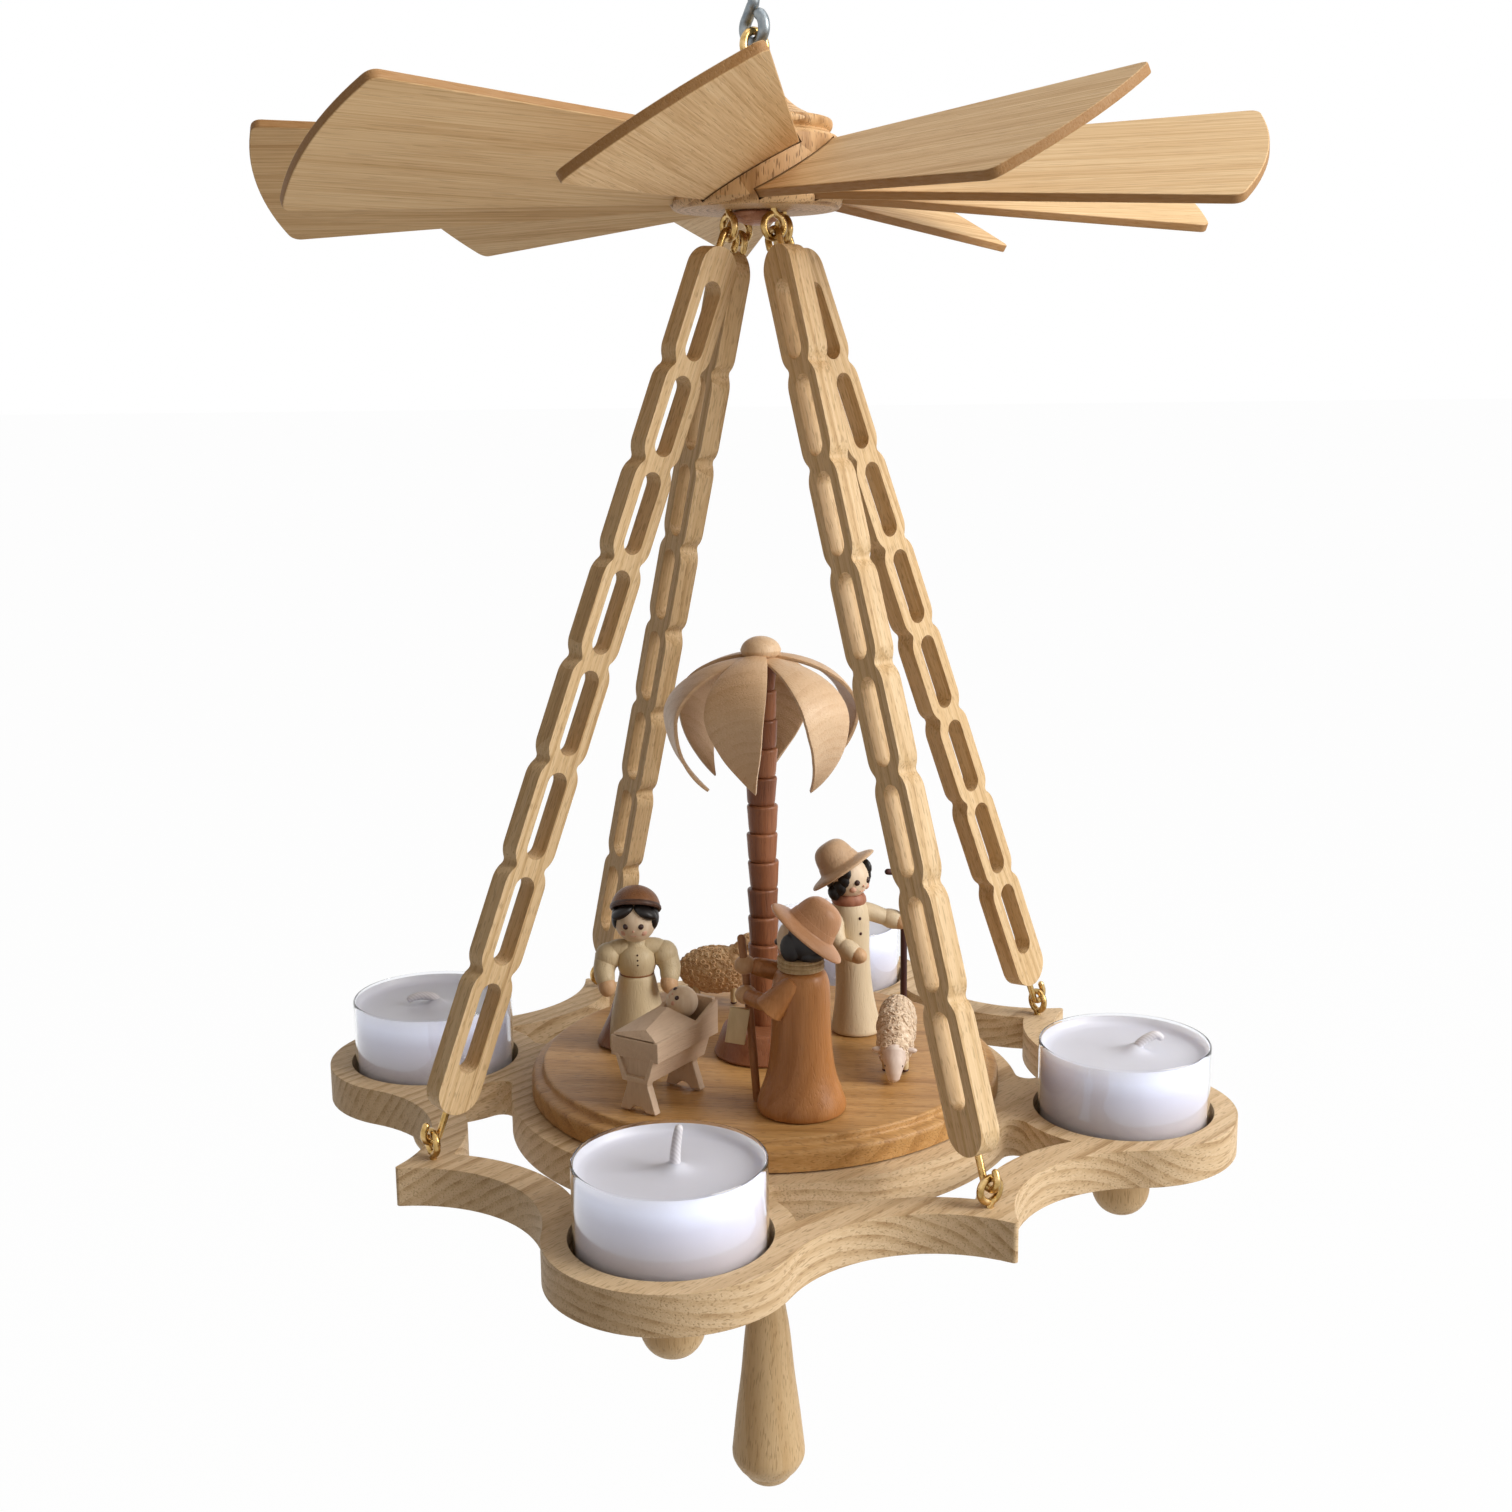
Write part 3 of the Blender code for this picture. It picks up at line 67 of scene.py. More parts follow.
# Adds a node with its settings. An input is a value or another node's socket, by name or number.
def addNode(tree, kind, settings=None, inputs=None, stops=None):
    node = tree.nodes.new(kind)
    for name, value in (settings or {}).items():
        setattr(node, name, value)
    for name, value in (inputs or {}).items():
        if isinstance(value, bpy.types.NodeSocket):
            tree.links.new(value, node.inputs[name])
        else:
            node.inputs[name].default_value = value
    if stops:
        ramp = node.color_ramp
        while len(ramp.elements) < len(stops):
            ramp.elements.new(0.5)
        for element, (place, colour) in zip(ramp.elements, stops):
            element.position = place
            element.color = hexColour(colour)
    return node


def polar(radius, turn, height=0.0):
    return Vector((radius * math.cos(turn), radius * math.sin(turn), height))


# X outwards, Y along the tangent, Z up
def radialFrame(turn, height=0.0):
    return Matrix.Translation((0, 0, height)) @ Matrix.Rotation(turn, 4, "Z")


# The frame of a piece of timber: X runs along its fibres, and the rings lie round X
def timber(place=(0, 0, 0), turn=0.0, rise=0.0):
    return (Matrix.Translation(place) @ Matrix.Rotation(math.radians(turn), 4, "Z")
            @ Matrix.Rotation(-math.radians(rise), 4, "Y"))


# At this place, tipped over towards a direction
def tipped(place, height, turn, tilt):
    turn, tilt = math.radians(turn), math.radians(tilt)
    return (Matrix.Translation(Vector(place) * height) @ Matrix.Rotation(turn, 4, "Z")
            @ Matrix.Rotation(tilt, 4, "Y") @ Matrix.Rotation(-turn, 4, "Z"))


def arc(centre, radius, start, end, steps):
    turns = [start + (end - start) * index / steps for index in range(steps + 1)]
    return [(centre[0] + radius * math.cos(turn), centre[1] + radius * math.sin(turn)) for turn in turns]


def direction(start, end):
    return math.atan2(end[1] - start[1], end[0] - start[0])


def circlesMeet(first, firstRadius, second, secondRadius, side):
    span = math.dist(first, second)
    along = (firstRadius ** 2 - secondRadius ** 2 + span ** 2) / (2 * span)
    across = side * math.sqrt(firstRadius ** 2 - along ** 2)
    turn = direction(first, second)
    return (first[0] + along * math.cos(turn) - across * math.sin(turn),
            first[1] + along * math.sin(turn) + across * math.cos(turn))


# A smooth line through the points. A point given twice stays a corner.
def smoothLine(points, steps=4):
    line = [Vector(points[0])]
    for index in range(len(points) - 1):
        b, c = Vector(points[index]), Vector(points[index + 1])
        if (c - b).length < 1e-9:
            continue
        a = Vector(points[index - 1]) if index > 0 else b
        d = Vector(points[index + 2]) if index + 2 < len(points) else c
        for step in range(1, steps + 1):
            t = step / steps
            line.append(0.5 * (2 * b + (c - a) * t + (2 * a - 5 * b + 4 * c - d) * t * t
                               + (3 * b - a - 3 * c + d) * t ** 3))
    return [tuple(point) for point in line]


# A smooth profile in metres, from radii and heights in millimetres over a level
def profile(points, base, steps=3):
    return [(max(radius, 0.0) / 1000, base + height / 1000) for radius, height in smoothLine(points, steps)]


# A (radius, height) profile, down its outer side, turned about Z. It closes on the axis, or on itself.
def addLathe(body, outline, steps=48, matrix=Matrix(), look=0):
    rings = []
    for radius, height in outline:
        if radius < 1e-7:
            rings.append([body.verts.new(matrix @ Vector((0, 0, height)))])
        else:
            rings.append([body.verts.new(matrix @ polar(radius, full * index / steps, height))
                          for index in range(steps)])
    pairs = list(zip(rings, rings[1:]))
    if len(rings[0]) > 1:
        pairs.append((rings[-1], rings[0]))
    for upper, lower in pairs:
        for index in range(steps):
            after = (index + 1) % steps
            corners = [upper[index % len(upper)], lower[index % len(lower)],
                       lower[after % len(lower)], upper[after % len(upper)]]
            corners = list(dict.fromkeys(corners))
            if len(corners) > 2:
                body.faces.new(corners).material_index = look


# A round bar along the points, with a radius for all or one for each, and rounded ends
def addTube(body, points, radius, steps=12, matrix=Matrix(), look=0, flat=1.0):
    points = [Vector(point) for point in points]
    radii = list(radius) if isinstance(radius, (list, tuple)) else [radius] * len(points)
    first, last = points[0] - points[1], points[-1] - points[-2]
    rows = [(points[0] + first.normalized() * radii[0] * math.sin(a), radii[0] * math.cos(a))
            for a in (quarter * 0.99, quarter * 0.66, quarter * 0.33)]
    rows += list(zip(points, radii))
    rows += [(points[-1] + last.normalized() * radii[-1] * math.sin(a), radii[-1] * math.cos(a))
             for a in (quarter * 0.33, quarter * 0.66, quarter * 0.99)]
    along = (rows[1][0] - rows[0][0]).normalized()
    side = along.orthogonal().normalized()
    rings = []
    for index, (place, size) in enumerate(rows):
        before, after = rows[max(index - 1, 0)][0], rows[min(index + 1, len(rows) - 1)][0]
        heading = (after - before).normalized()
        side = (side - heading * side.dot(heading)).normalized()
        other = heading.cross(side)
        ring = []
        for step in range(steps):
            turn = full * step / steps
            offset = side * math.cos(turn) * size + other * math.sin(turn) * size * flat
            ring.append(body.verts.new(matrix @ (place + offset)))
        rings.append(ring)
    for one, two in zip(rings, rings[1:]):
        for step in range(steps):
            after = (step + 1) % steps
            body.faces.new((one[step], one[after], two[after], two[step])).material_index = look
    body.faces.new(list(reversed(rings[0]))).material_index = look
    body.faces.new(rings[-1]).material_index = look


def addBall(body, centre, radii, matrix=Matrix(), look=0, steps=24):
    size = Matrix.Diagonal((*radii, 1.0)) if isinstance(radii, tuple) else Matrix.Scale(radii, 4)
    turns = [math.pi * step / (steps // 2) for step in range(steps // 2 + 1)]
    addLathe(body, [(math.sin(turn), math.cos(turn)) for turn in turns], steps,
             matrix @ Matrix.Translation(centre) @ size, look)


def addBlock(body, size, matrix, look=0, bevel=0.0):
    made = bmesh.ops.create_cube(body, size=1.0, matrix=matrix @ Matrix.Diagonal((*size, 1.0)))
    edges = dict.fromkeys(edge for vert in made["verts"] for edge in vert.link_edges)
    for face in dict.fromkeys(face for vert in made["verts"] for face in vert.link_faces):
        face.material_index = look
    if bevel:
        bmesh.ops.bevel(body, geom=list(edges), offset=bevel, segments=2, affect="EDGES", profile=0.5,
                        material=-1)


def newObject(name, mesh):
    obj = bpy.data.objects.new(name, mesh)
    bpy.context.scene.collection.objects.link(obj)
    return obj


def meshObject(name, build):
    mesh = bpy.data.meshes.new(name)
    body = bmesh.new()
    build(body)
    body.to_mesh(mesh)
    body.free()
    return newObject(name, mesh)


# A board from flat outlines, the first one its edge and the others its openings
def boardObject(name, outlines, thickness, matrix=Matrix()):
    curve = bpy.data.curves.new(name, "CURVE")
    curve.dimensions = "2D"
    curve.fill_mode = "BOTH"
    curve.extrude = thickness / 2
    for outline in outlines:
        spline = curve.splines.new("POLY")
        spline.points.add(len(outline) - 1)
        for target, (x, y) in zip(spline.points, outline):
            target.co = (x, y, 0.0, 1.0)
        spline.use_cyclic_u = True
    flat = newObject(name + "Flat", curve)
    bpy.context.view_layer.update()
    mesh = bpy.data.meshes.new_from_object(flat.evaluated_get(bpy.context.evaluated_depsgraph_get()))
    bpy.data.objects.remove(flat, do_unlink=True)
    body = bmesh.new()
    body.from_mesh(mesh)
    bmesh.ops.remove_doubles(body, verts=body.verts, dist=0.00001)
    bmesh.ops.recalc_face_normals(body, faces=body.faces)
    bmesh.ops.dissolve_limit(body, angle_limit=0.001, verts=body.verts, edges=body.edges)
    body.transform(matrix)
    body.to_mesh(mesh)
    body.free()
    return newObject(name, mesh)


def applyModifiers(obj):
    bpy.context.view_layer.update()
    mesh = bpy.data.meshes.new_from_object(obj.evaluated_get(bpy.context.evaluated_depsgraph_get()))
    obj.modifiers.clear()
    obj.data = mesh


def cutAway(obj, tools):
    for tool in tools:
        change = obj.modifiers.new("cut", "BOOLEAN")
        change.operation = "DIFFERENCE"
        change.object = tool
        change.solver = "EXACT"
    applyModifiers(obj)
    for tool in tools:
        bpy.data.objects.remove(tool, do_unlink=True)


# Rounds the edges sharper than 35 degrees
def roundEdges(obj, width, segments=2):
    change = obj.modifiers.new("round", "BEVEL")
    change.width = width
    change.segments = segments
    change.limit_method = "ANGLE"
    change.angle_limit = math.radians(35)
    change.use_clamp_overlap = True
    applyModifiers(obj)


def shadeSmooth(obj, sharpAngle=38, weighted=False):
    body = bmesh.new()
    body.from_mesh(obj.data)
    for face in body.faces:
        face.smooth = True
    for edge in body.edges:
        edge.smooth = len(edge.link_faces) == 2 and edge.calc_face_angle(0) < math.radians(sharpAngle)
    body.to_mesh(obj.data)
    body.free()
    if weighted:
        change = obj.modifiers.new("normals", "WEIGHTED_NORMAL")
        change.keep_sharp = True
        applyModifiers(obj)


# Every point keeps its place in the piece's own timber, for the wood patterns
def storeGrain(obj, grainFrame=Matrix(), tone=0.5):
    back = grainFrame.inverted()
    mesh = obj.data
    grain = mesh.attributes.new("grain", "FLOAT_VECTOR", "POINT")
    grain.data.foreach_set("vector", [value for vert in mesh.vertices for value in back @ vert.co])
    shade = mesh.attributes.new("tone", "FLOAT", "POINT")
    shade.data.foreach_set("value", [tone] * len(mesh.vertices))


def fit(obj, looks, body, nodes):
    slots = obj.data.materials
    for index, look in enumerate(looks):
        if index < len(slots):
            slots[index] = look
        else:
            slots.append(look)
    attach(obj, body)
    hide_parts(*nodes)
    return obj


# Shades a piece, stores its grain where it has one, and hands it over
def finishPiece(obj, looks, body, nodes, sharpAngle=38, weighted=False, grain=None, tone=0.5):
    shadeSmooth(obj, sharpAngle, weighted)
    if grain is not None:
        storeGrain(obj, grain, tone)
    return fit(obj, looks, body, nodes)


# Materials

# A new material, with its tree and its main shader
def startMaterial(name):
    material = bpy.data.materials.new(name)
    material.use_nodes = True
    return material, material.node_tree, material.node_tree.nodes["Principled BSDF"]


# Links the colour, a roughness between two values that a pattern leads, and a fine relief
def setSurface(tree, colour, pattern, rough, relief, strength, depth, spread=(0.0, 1.0)):
    roughness = addNode(tree, "ShaderNodeMapRange", None, {
        "Value": pattern, "From Min": spread[0], "From Max": spread[1], "To Min": rough[0], "To Max": rough[1]})
    bump = addNode(tree, "ShaderNodeBump", None, {"Height": relief, "Strength": strength, "Distance": depth})
    inputs = tree.nodes["Principled BSDF"].inputs
    for socket, name in ((colour, "Base Color"), (roughness.outputs[0], "Roughness"), (bump.outputs[0], "Normal")):
        tree.links.new(socket, inputs[name])


# Timber, sanded and left bare or thinly oiled: growth rings, fine fibres and short pores
def makeWood(name, look):
    material, tree, shader = startMaterial(name)
    look = {"wander": 0.004, "fibreLength": 0.012, "poreLength": 0.0022, "tones": 0.25, **look}
    shader.inputs["Specular IOR Level"].default_value = 0.3
    grain = addNode(tree, "ShaderNodeAttribute", {"attribute_name": "grain"}).outputs["Vector"]
    tone = addNode(tree, "ShaderNodeAttribute", {"attribute_name": "tone"}).outputs["Fac"]

    def noiseAt(along, across, detail=2.0):     # a pattern this long and this wide, in metres
        stretched = addNode(tree, "ShaderNodeMapping", None, {
            "Vector": grain, "Scale": (1 / along, 1 / across, 1 / across)}).outputs[0]
        return addNode(tree, "ShaderNodeTexNoise", None, {
            "Vector": stretched, "Scale": 1.0, "Detail": detail, "Roughness": 0.55}).outputs

    stretched = addNode(tree, "ShaderNodeMapping", None, {
        "Vector": grain, "Scale": (1 / 0.060, 1 / 0.014, 1 / 0.014)}).outputs[0]
    wander = addNode(tree, "ShaderNodeTexNoise", None, {"Vector": stretched, "Scale": 1.0, "Detail": 1.5})
    centred = addNode(tree, "ShaderNodeVectorMath", {"operation": "SUBTRACT"}, {
        0: wander.outputs["Color"], 1: (0.5, 0.5, 0.5)}).outputs[0]
    shift = addNode(tree, "ShaderNodeVectorMath", {"operation": "SCALE"}, {
        0: centred, "Scale": look["wander"]}).outputs[0]
    moved = addNode(tree, "ShaderNodeVectorMath", {"operation": "ADD"}, {0: grain, 1: shift}).outputs[0]
    rings = addNode(tree, "ShaderNodeTexWave", {
        "wave_type": "RINGS", "rings_direction": "X", "wave_profile": "SAW"}, {
        "Vector": moved, "Scale": waveScale / look["ringGap"], "Distortion": 0.0}).outputs["Fac"]
    late = addNode(tree, "ShaderNodeMapRange", {"interpolation_type": "SMOOTHSTEP"}, {
        "Value": rings, "From Min": 0.35, "From Max": 0.92}).outputs[0]
    strength = addNode(tree, "ShaderNodeMapRange", None, {
        "Value": noiseAt(0.20, 0.0035, 1.0)["Fac"], "From Min": 0.35, "From Max": 0.65, "To Min": 0.25}).outputs[0]
    late = addNode(tree, "ShaderNodeMath", {"operation": "MULTIPLY"}, {0: late, 1: strength}).outputs[0]
    fibre = noiseAt(look["fibreLength"], 0.00045, 3.0)["Fac"]
    blotch = noiseAt(0.045, 0.011)["Fac"]
    pores = addNode(tree, "ShaderNodeMapRange", None, {
        "Value": noiseAt(look["poreLength"], 0.00032, 0.0)["Fac"], "From Min": 0.60, "From Max": 0.72}).outputs[0]

    mix = addNode(tree, "ShaderNodeMath", {"operation": "MULTIPLY"}, {0: late, 1: look["rings"]}).outputs[0]
    for source, share in ((fibre, look["fibres"]), (blotch, look["blotches"]), (tone, look["tones"])):
        mix = addNode(tree, "ShaderNodeMath", {"operation": "MULTIPLY_ADD"}, {
            0: source, 1: share, 2: mix}).outputs[0]
    colour = addNode(tree, "ShaderNodeValToRGB", None, {"Fac": mix}, look["colours"]).outputs[0]
    dark = addNode(tree, "ShaderNodeMath", {"operation": "MULTIPLY"}, {0: pores, 1: look["pores"]}).outputs[0]
    colour = addNode(tree, "ShaderNodeMix", {"data_type": "RGBA"}, {
        0: dark, 6: colour, 7: hexColour(look["poreColour"])}).outputs[2]
    if "sawnEdge" in look:      # the thin edge of a board, darker where it was sawn
        thick, edgeColour = look["sawnEdge"]
        up = addNode(tree, "ShaderNodeSeparateXYZ", None, {0: addNode(
            tree, "ShaderNodeAttribute", {"attribute_name": "place"}).outputs["Vector"]}).outputs[2]
        up = addNode(tree, "ShaderNodeMath", {"operation": "ABSOLUTE"}, {0: up}).outputs[0]
        edge = addNode(tree, "ShaderNodeMapRange", None, {
            "Value": up, "From Min": thick * 0.48, "From Max": thick * 0.40, "To Max": 0.8}).outputs[0]
        colour = addNode(tree, "ShaderNodeMix", {"data_type": "RGBA"}, {
            0: edge, 6: colour, 7: hexColour(edgeColour)}).outputs[2]
    relief = addNode(tree, "ShaderNodeMath", {"operation": "MULTIPLY_ADD"}, {
        0: pores, 1: -0.9, 2: fibre}).outputs[0]
    rough = look["roughness"]
    setSurface(tree, colour, fibre, (rough - 0.08, rough + 0.10), relief, 0.35, 0.00015)
    return material


# Thin bright wire or plate: mottled colour, fine scratches and a roughness that varies
def makeMetal(name, look):
    material, tree, shader = startMaterial(name)
    shader.inputs["Metallic"].default_value = 1.0
    place = addNode(tree, "ShaderNodeTexCoord").outputs["Object"]
    mottle, marks = (addNode(tree, "ShaderNodeTexNoise", None, {
        "Vector": place, "Scale": 1 / look[size], "Detail": detail}).outputs["Fac"]
        for size, detail in (("mottle", 3.0), ("marks", 2.0)))
    colour = addNode(tree, "ShaderNodeValToRGB", None, {"Fac": mottle}, look["colours"]).outputs[0]
    rough = look["roughness"]
    setSurface(tree, colour, mottle, (rough - 0.08, rough + 0.10), marks, 0.25, 0.00008, (0.3, 0.7))
    return material


# Matt paint brushed on turned wood: small brush streaks and a little wear
def makePaint(name, pale, dark, rough=0.5, streak=0.0012):
    material, tree, shader = startMaterial(name)
    shader.inputs["Specular IOR Level"].default_value = 0.3
    streaks = addNode(tree, "ShaderNodeMapping", None, {
        "Vector": addNode(tree, "ShaderNodeTexCoord").outputs["Object"],
        "Scale": (1 / streak, 1 / streak, 0.25 / streak)}).outputs[0]
    cloud = addNode(tree, "ShaderNodeTexNoise", None, {
        "Vector": streaks, "Scale": 1.0, "Detail": 3.0}).outputs["Fac"]
    colour = addNode(tree, "ShaderNodeValToRGB", None, {"Fac": cloud}, ((0.3, pale), (0.7, dark))).outputs[0]
    setSurface(tree, colour, cloud, (rough - 0.1, rough + 0.1), cloud, 0.2, 0.0001)
    return material


waveScale = 0.314       # a wave pattern's scale, times its gap in metres

# Vanes: thin sanded beech, pale and warm, with long fine fibre lines and a brown sawn edge
vaneBeech = makeWood("sandedBeechVane", {
    "ringGap": 0.0042, "rings": 0.14, "fibres": 0.85, "fibreLength": 0.040, "blotches": 0.18, "tones": 0.18,
    "pores": 0.18, "poreLength": 0.0060, "poreColour": "#946A3C", "sawnEdge": (0.0020, "#8F6231"),
    "colours": ((0.40, "#EBCDA0"), (0.66, "#D9B686"), (0.98, "#B58A56")), "roughness": 0.60})
# Hub: beech turned on a lathe, ring lines on its cone and small pore dashes on its rim
hubBeech = makeWood("turnedBeechHub", {
    "ringGap": 0.0016, "rings": 0.50, "fibres": 0.26, "blotches": 0.16, "tones": 0.10, "wander": 0.0012,
    "colours": ((0.20, "#D6B284"), (0.45, "#C29A6A"), (0.85, "#8E6436")), "poreColour": "#6E4A26",
    "pores": 0.65, "roughness": 0.50})
# Plug: a small turned button of a rosier beech
rosyBeech = makeWood("turnedRosyBeech", {
    "ringGap": 0.0010, "rings": 0.30, "fibres": 0.25, "blotches": 0.15, "wander": 0.0006, "pores": 0.25,
    "colours": ((0.25, "#C9977A"), (0.60, "#A8704F"), (0.90, "#7E4A2E")), "poreColour": "#6B3A22",
    "roughness": 0.45})
# Arms: sawn and sanded slats, straight grain along their length
armBeech = makeWood("sandedBeechSlat", {
    "ringGap": 0.0022, "rings": 0.24, "fibres": 0.60, "fibreLength": 0.030, "blotches": 0.20, "tones": 0.14,
    "colours": ((0.32, "#E2C8A0"), (0.58, "#D0B184"), (0.90, "#A98456")), "poreColour": "#8A6840",
    "pores": 0.35, "roughness": 0.55})
# Plate: a thick sanded ash-like board, faint ring lines across its top and slanting streaks on its rim
plateAsh = makeWood("sandedAshBoard", {
    "ringGap": 0.0024, "rings": 0.34, "fibres": 0.42, "blotches": 0.18, "tones": 0.10, "wander": 0.0030,
    "colours": ((0.22, "#DBC3A0"), (0.46, "#CAAE88"), (0.88, "#977448")), "poreColour": "#805E34",
    "pores": 0.40, "roughness": 0.55})
# Platform: a warmer disc with long soft streaks
platformOak = makeWood("oiledPlatformDisc", {
    "ringGap": 0.0046, "rings": 0.26, "fibres": 0.50, "blotches": 0.30, "tones": 0.10, "wander": 0.0080,
    "colours": ((0.26, "#CDA36C"), (0.54, "#B88B53"), (0.92, "#8A5F2E")), "poreColour": "#704A22",
    "pores": 0.35, "roughness": 0.42})
# Finial and knobs: turned from the board's own wood, long arched ring lines with small open pores
finialAsh = makeWood("turnedAshFinial", {
    "ringGap": 0.0034, "rings": 0.26, "fibres": 0.28, "blotches": 0.18, "tones": 0.10, "wander": 0.0022,
    "colours": ((0.22, "#D6BA90"), (0.50, "#C6A577"), (0.82, "#A07A4C")), "poreColour": "#845F33",
    "pores": 0.35, "poreLength": 0.0030, "roughness": 0.50})
# Palm: stained red-brown on a lathe, smooth with a soft shine
palmStain = makeWood("stainedPalmTrunk", {
    "ringGap": 0.0015, "rings": 0.10, "fibres": 0.30, "blotches": 0.30, "tones": 0.30, "wander": 0.0010,
    "colours": ((0.25, "#A06A48"), (0.50, "#875538"), (0.85, "#5E3622")), "poreColour": "#4A2A1C",
    "pores": 0.15, "roughness": 0.38})
# Leaves: thin bent veneer with faint fibre lines along each leaf
leafVeneer = makeWood("bentVeneerLeaf", {
    "ringGap": 0.0024, "rings": 0.12, "fibres": 0.36, "blotches": 0.22, "tones": 0.24, "wander": 0.0010,
    "colours": ((0.25, "#DEC3A2"), (0.52, "#CFAF8C"), (0.82, "#B08C66")), "poreColour": "#98744F",
    "pores": 0.10, "roughness": 0.40})
# Figures and manger: close-grained limewood and maple under thin stains and varnish, almost no grain to see.
# Each has its ring gap in millimetres, its shares of rings, fibres, blotches and pores, its roughness, its pores'
# colour, and its colours from pale to dark.
dressWood, coatWood, coatLime, paleWood, hatWood, hatMaple, chestnutWood, handWood = (
    makeWood(name, {
        "ringGap": gap / 1000, "rings": rings, "fibres": fibres, "blotches": blotches, "pores": pores,
        "roughness": rough, "poreColour": pore, "wander": 0.0008,
        "colours": ((0.25, pale), (0.50, middle), (0.85, dark))})
    for name, gap, rings, fibres, blotches, pores, rough, pore, pale, middle, dark in (
        ("varnishedDressWood", 2.0, 0.06, 0.28, 0.30, 0.06, 0.42, "#967F58", "#DACAA8", "#CDBA96", "#AE9871"),
        ("stainedCherryCoat", 2.2, 0.10, 0.30, 0.28, 0.08, 0.34, "#66401F", "#BE8652", "#A66E3B", "#7E4F27"),
        ("varnishedLimeCoat", 2.0, 0.05, 0.26, 0.28, 0.06, 0.44, "#9A8362", "#DECDB0", "#D1BE9E", "#B39D7A"),
        ("plainLimewood", 2.0, 0.08, 0.30, 0.26, 0.10, 0.50, "#947A60", "#DAC3AB", "#CDB49B", "#AF947A"),
        ("stainedHatWood", 2.0, 0.06, 0.30, 0.26, 0.08, 0.45, "#826648", "#CDB08F", "#BFA080", "#9E8060"),
        ("varnishedHatMaple", 2.0, 0.06, 0.30, 0.26, 0.08, 0.36, "#845836", "#D0A078", "#C29069", "#9F6F49"),
        ("stainedChestnutCap", 2.0, 0.06, 0.30, 0.26, 0.08, 0.40, "#4A2C1C", "#956844", "#7E5434", "#5E3A22"),
        ("plainTurnedHands", 2.0, 0.05, 0.26, 0.26, 0.05, 0.42, "#84603F", "#D2AE88", "#C49C74", "#A27A54")))

# Zinc-coated steel wire: blue-grey and mottled, a dull shine
galvanisedSteel = makeMetal("galvanisedSteelWire", {
    "mottle": 0.0016, "marks": 0.0004, "roughness": 0.38,
    "colours": ((0.30, "#6E767C"), (0.55, "#8B9296"), (0.75, "#A5AAAA"))})
# Ground bearing steel: even grey, finely ringed
bearingSteel = makeMetal("groundBearingSteel", {
    "mottle": 0.0012, "marks": 0.0002, "roughness": 0.25,
    "colours": ((0.30, "#A6A7A9"), (0.70, "#BFC0C2"))})
# Bright drawn brass wire: golden with sharp highlights, tarnished a little in patches
drawnBrass = makeMetal("drawnBrassWire", {
    "mottle": 0.0022, "marks": 0.0005, "roughness": 0.26,
    "colours": ((0.30, "#9A7C46"), (0.55, "#C6A46A"), (0.75, "#DFC494"))})

skinPaint = makePaint("paintedSkin", "#E6D4BC", "#D9C2A6")
cheekPaint = makePaint("rosyCheekPaint", "#D9AE98", "#CF9F88", 0.55)
eyePaint = makePaint("darkEyePaint", "#3A2018", "#2A1510", 0.40)
hairPaint = makePaint("blackHairPaint", "#1C1614", "#110D0C", 0.42)
brimPaint = makePaint("darkBrownPaint", "#54382A", "#3D271B", 0.45)
creamPaint = makePaint("creamPaint", "#DCC8A2", "#CDB78F")
ribPaint = makePaint("ribbedCollarPaint", "#C4AC86", "#A98F69", 0.60, 0.0006)
muzzlePaint = makePaint("paleMuzzlePaint", "#E4D6CC", "#D3C1B6")
rosePaint = makePaint("roseBrownPaint", "#A9735A", "#8F5B44")
staffStain = makePaint("darkStaffStain", "#46261D", "#34191A")
oakStaff = makePaint("brownStaffStain", "#A87850", "#8A5E3E")
print("woods, metals and paints made")


# Wool: yarn curls, very rough, its colour mottled by noise at about a curl's size, from brown to pale cream
def makeWool(name, colours):
    material, tree, shader = startMaterial(name)
    shader.inputs["Sheen Weight"].default_value = 0.3
    fluff = addNode(tree, "ShaderNodeTexNoise", None, {
        "Vector": addNode(tree, "ShaderNodeTexCoord").outputs["Object"],
        "Scale": 1 / 0.0009, "Detail": 4.0, "Roughness": 0.7}).outputs["Fac"]
    colour = addNode(tree, "ShaderNodeValToRGB", None, {"Fac": fluff}, colours).outputs[0]
    setSurface(tree, colour, fluff, (0.85, 1.0), fluff, 0.6, 0.0003)
    return material


# Tealight wax: white paraffin, faintly cloudy, with light spreading under its surface. Its colour runs from a pale
# bluish white at the top to a darker warm grey at the foot, painted shade where the cup sits down in the plate's
# recess
def makeWax():
    material, tree, shader = startMaterial("whiteParaffinWax")
    shader.inputs["Subsurface Weight"].default_value = 0.35
    shader.inputs["Subsurface Radius"].default_value = (0.0030, 0.0028, 0.0026)
    shader.inputs["Subsurface Scale"].default_value = 1.0
    place = addNode(tree, "ShaderNodeTexCoord").outputs["Object"]
    cloud = addNode(tree, "ShaderNodeTexNoise", None, {
        "Vector": place, "Scale": 1 / 0.006, "Detail": 3.0}).outputs["Fac"]
    up = addNode(tree, "ShaderNodeSeparateXYZ", None, {0: place}).outputs[2]
    up = addNode(tree, "ShaderNodeMapRange", None, {
        "Value": up, "From Min": cupBase, "From Max": cupBase + 0.0186}).outputs[0]
    up = addNode(tree, "ShaderNodeMath", {"operation": "MULTIPLY_ADD"}, {0: cloud, 1: 0.06, 2: up}).outputs[0]
    # painted shade: the wax turns darker and warmer towards its foot, where the cup stands in the recess, and stays
    # pale at the top
    colour = addNode(tree, "ShaderNodeValToRGB", None, {"Fac": up}, (
        (0.20, "#958A82"), (0.45, "#A29C9E"), (0.80, "#B6B5C0"), (0.99, "#D0D3E0"))).outputs[0]
    setSurface(tree, colour, cloud, (0.32, 0.48), cloud, 0.15, 0.0004)
    return material


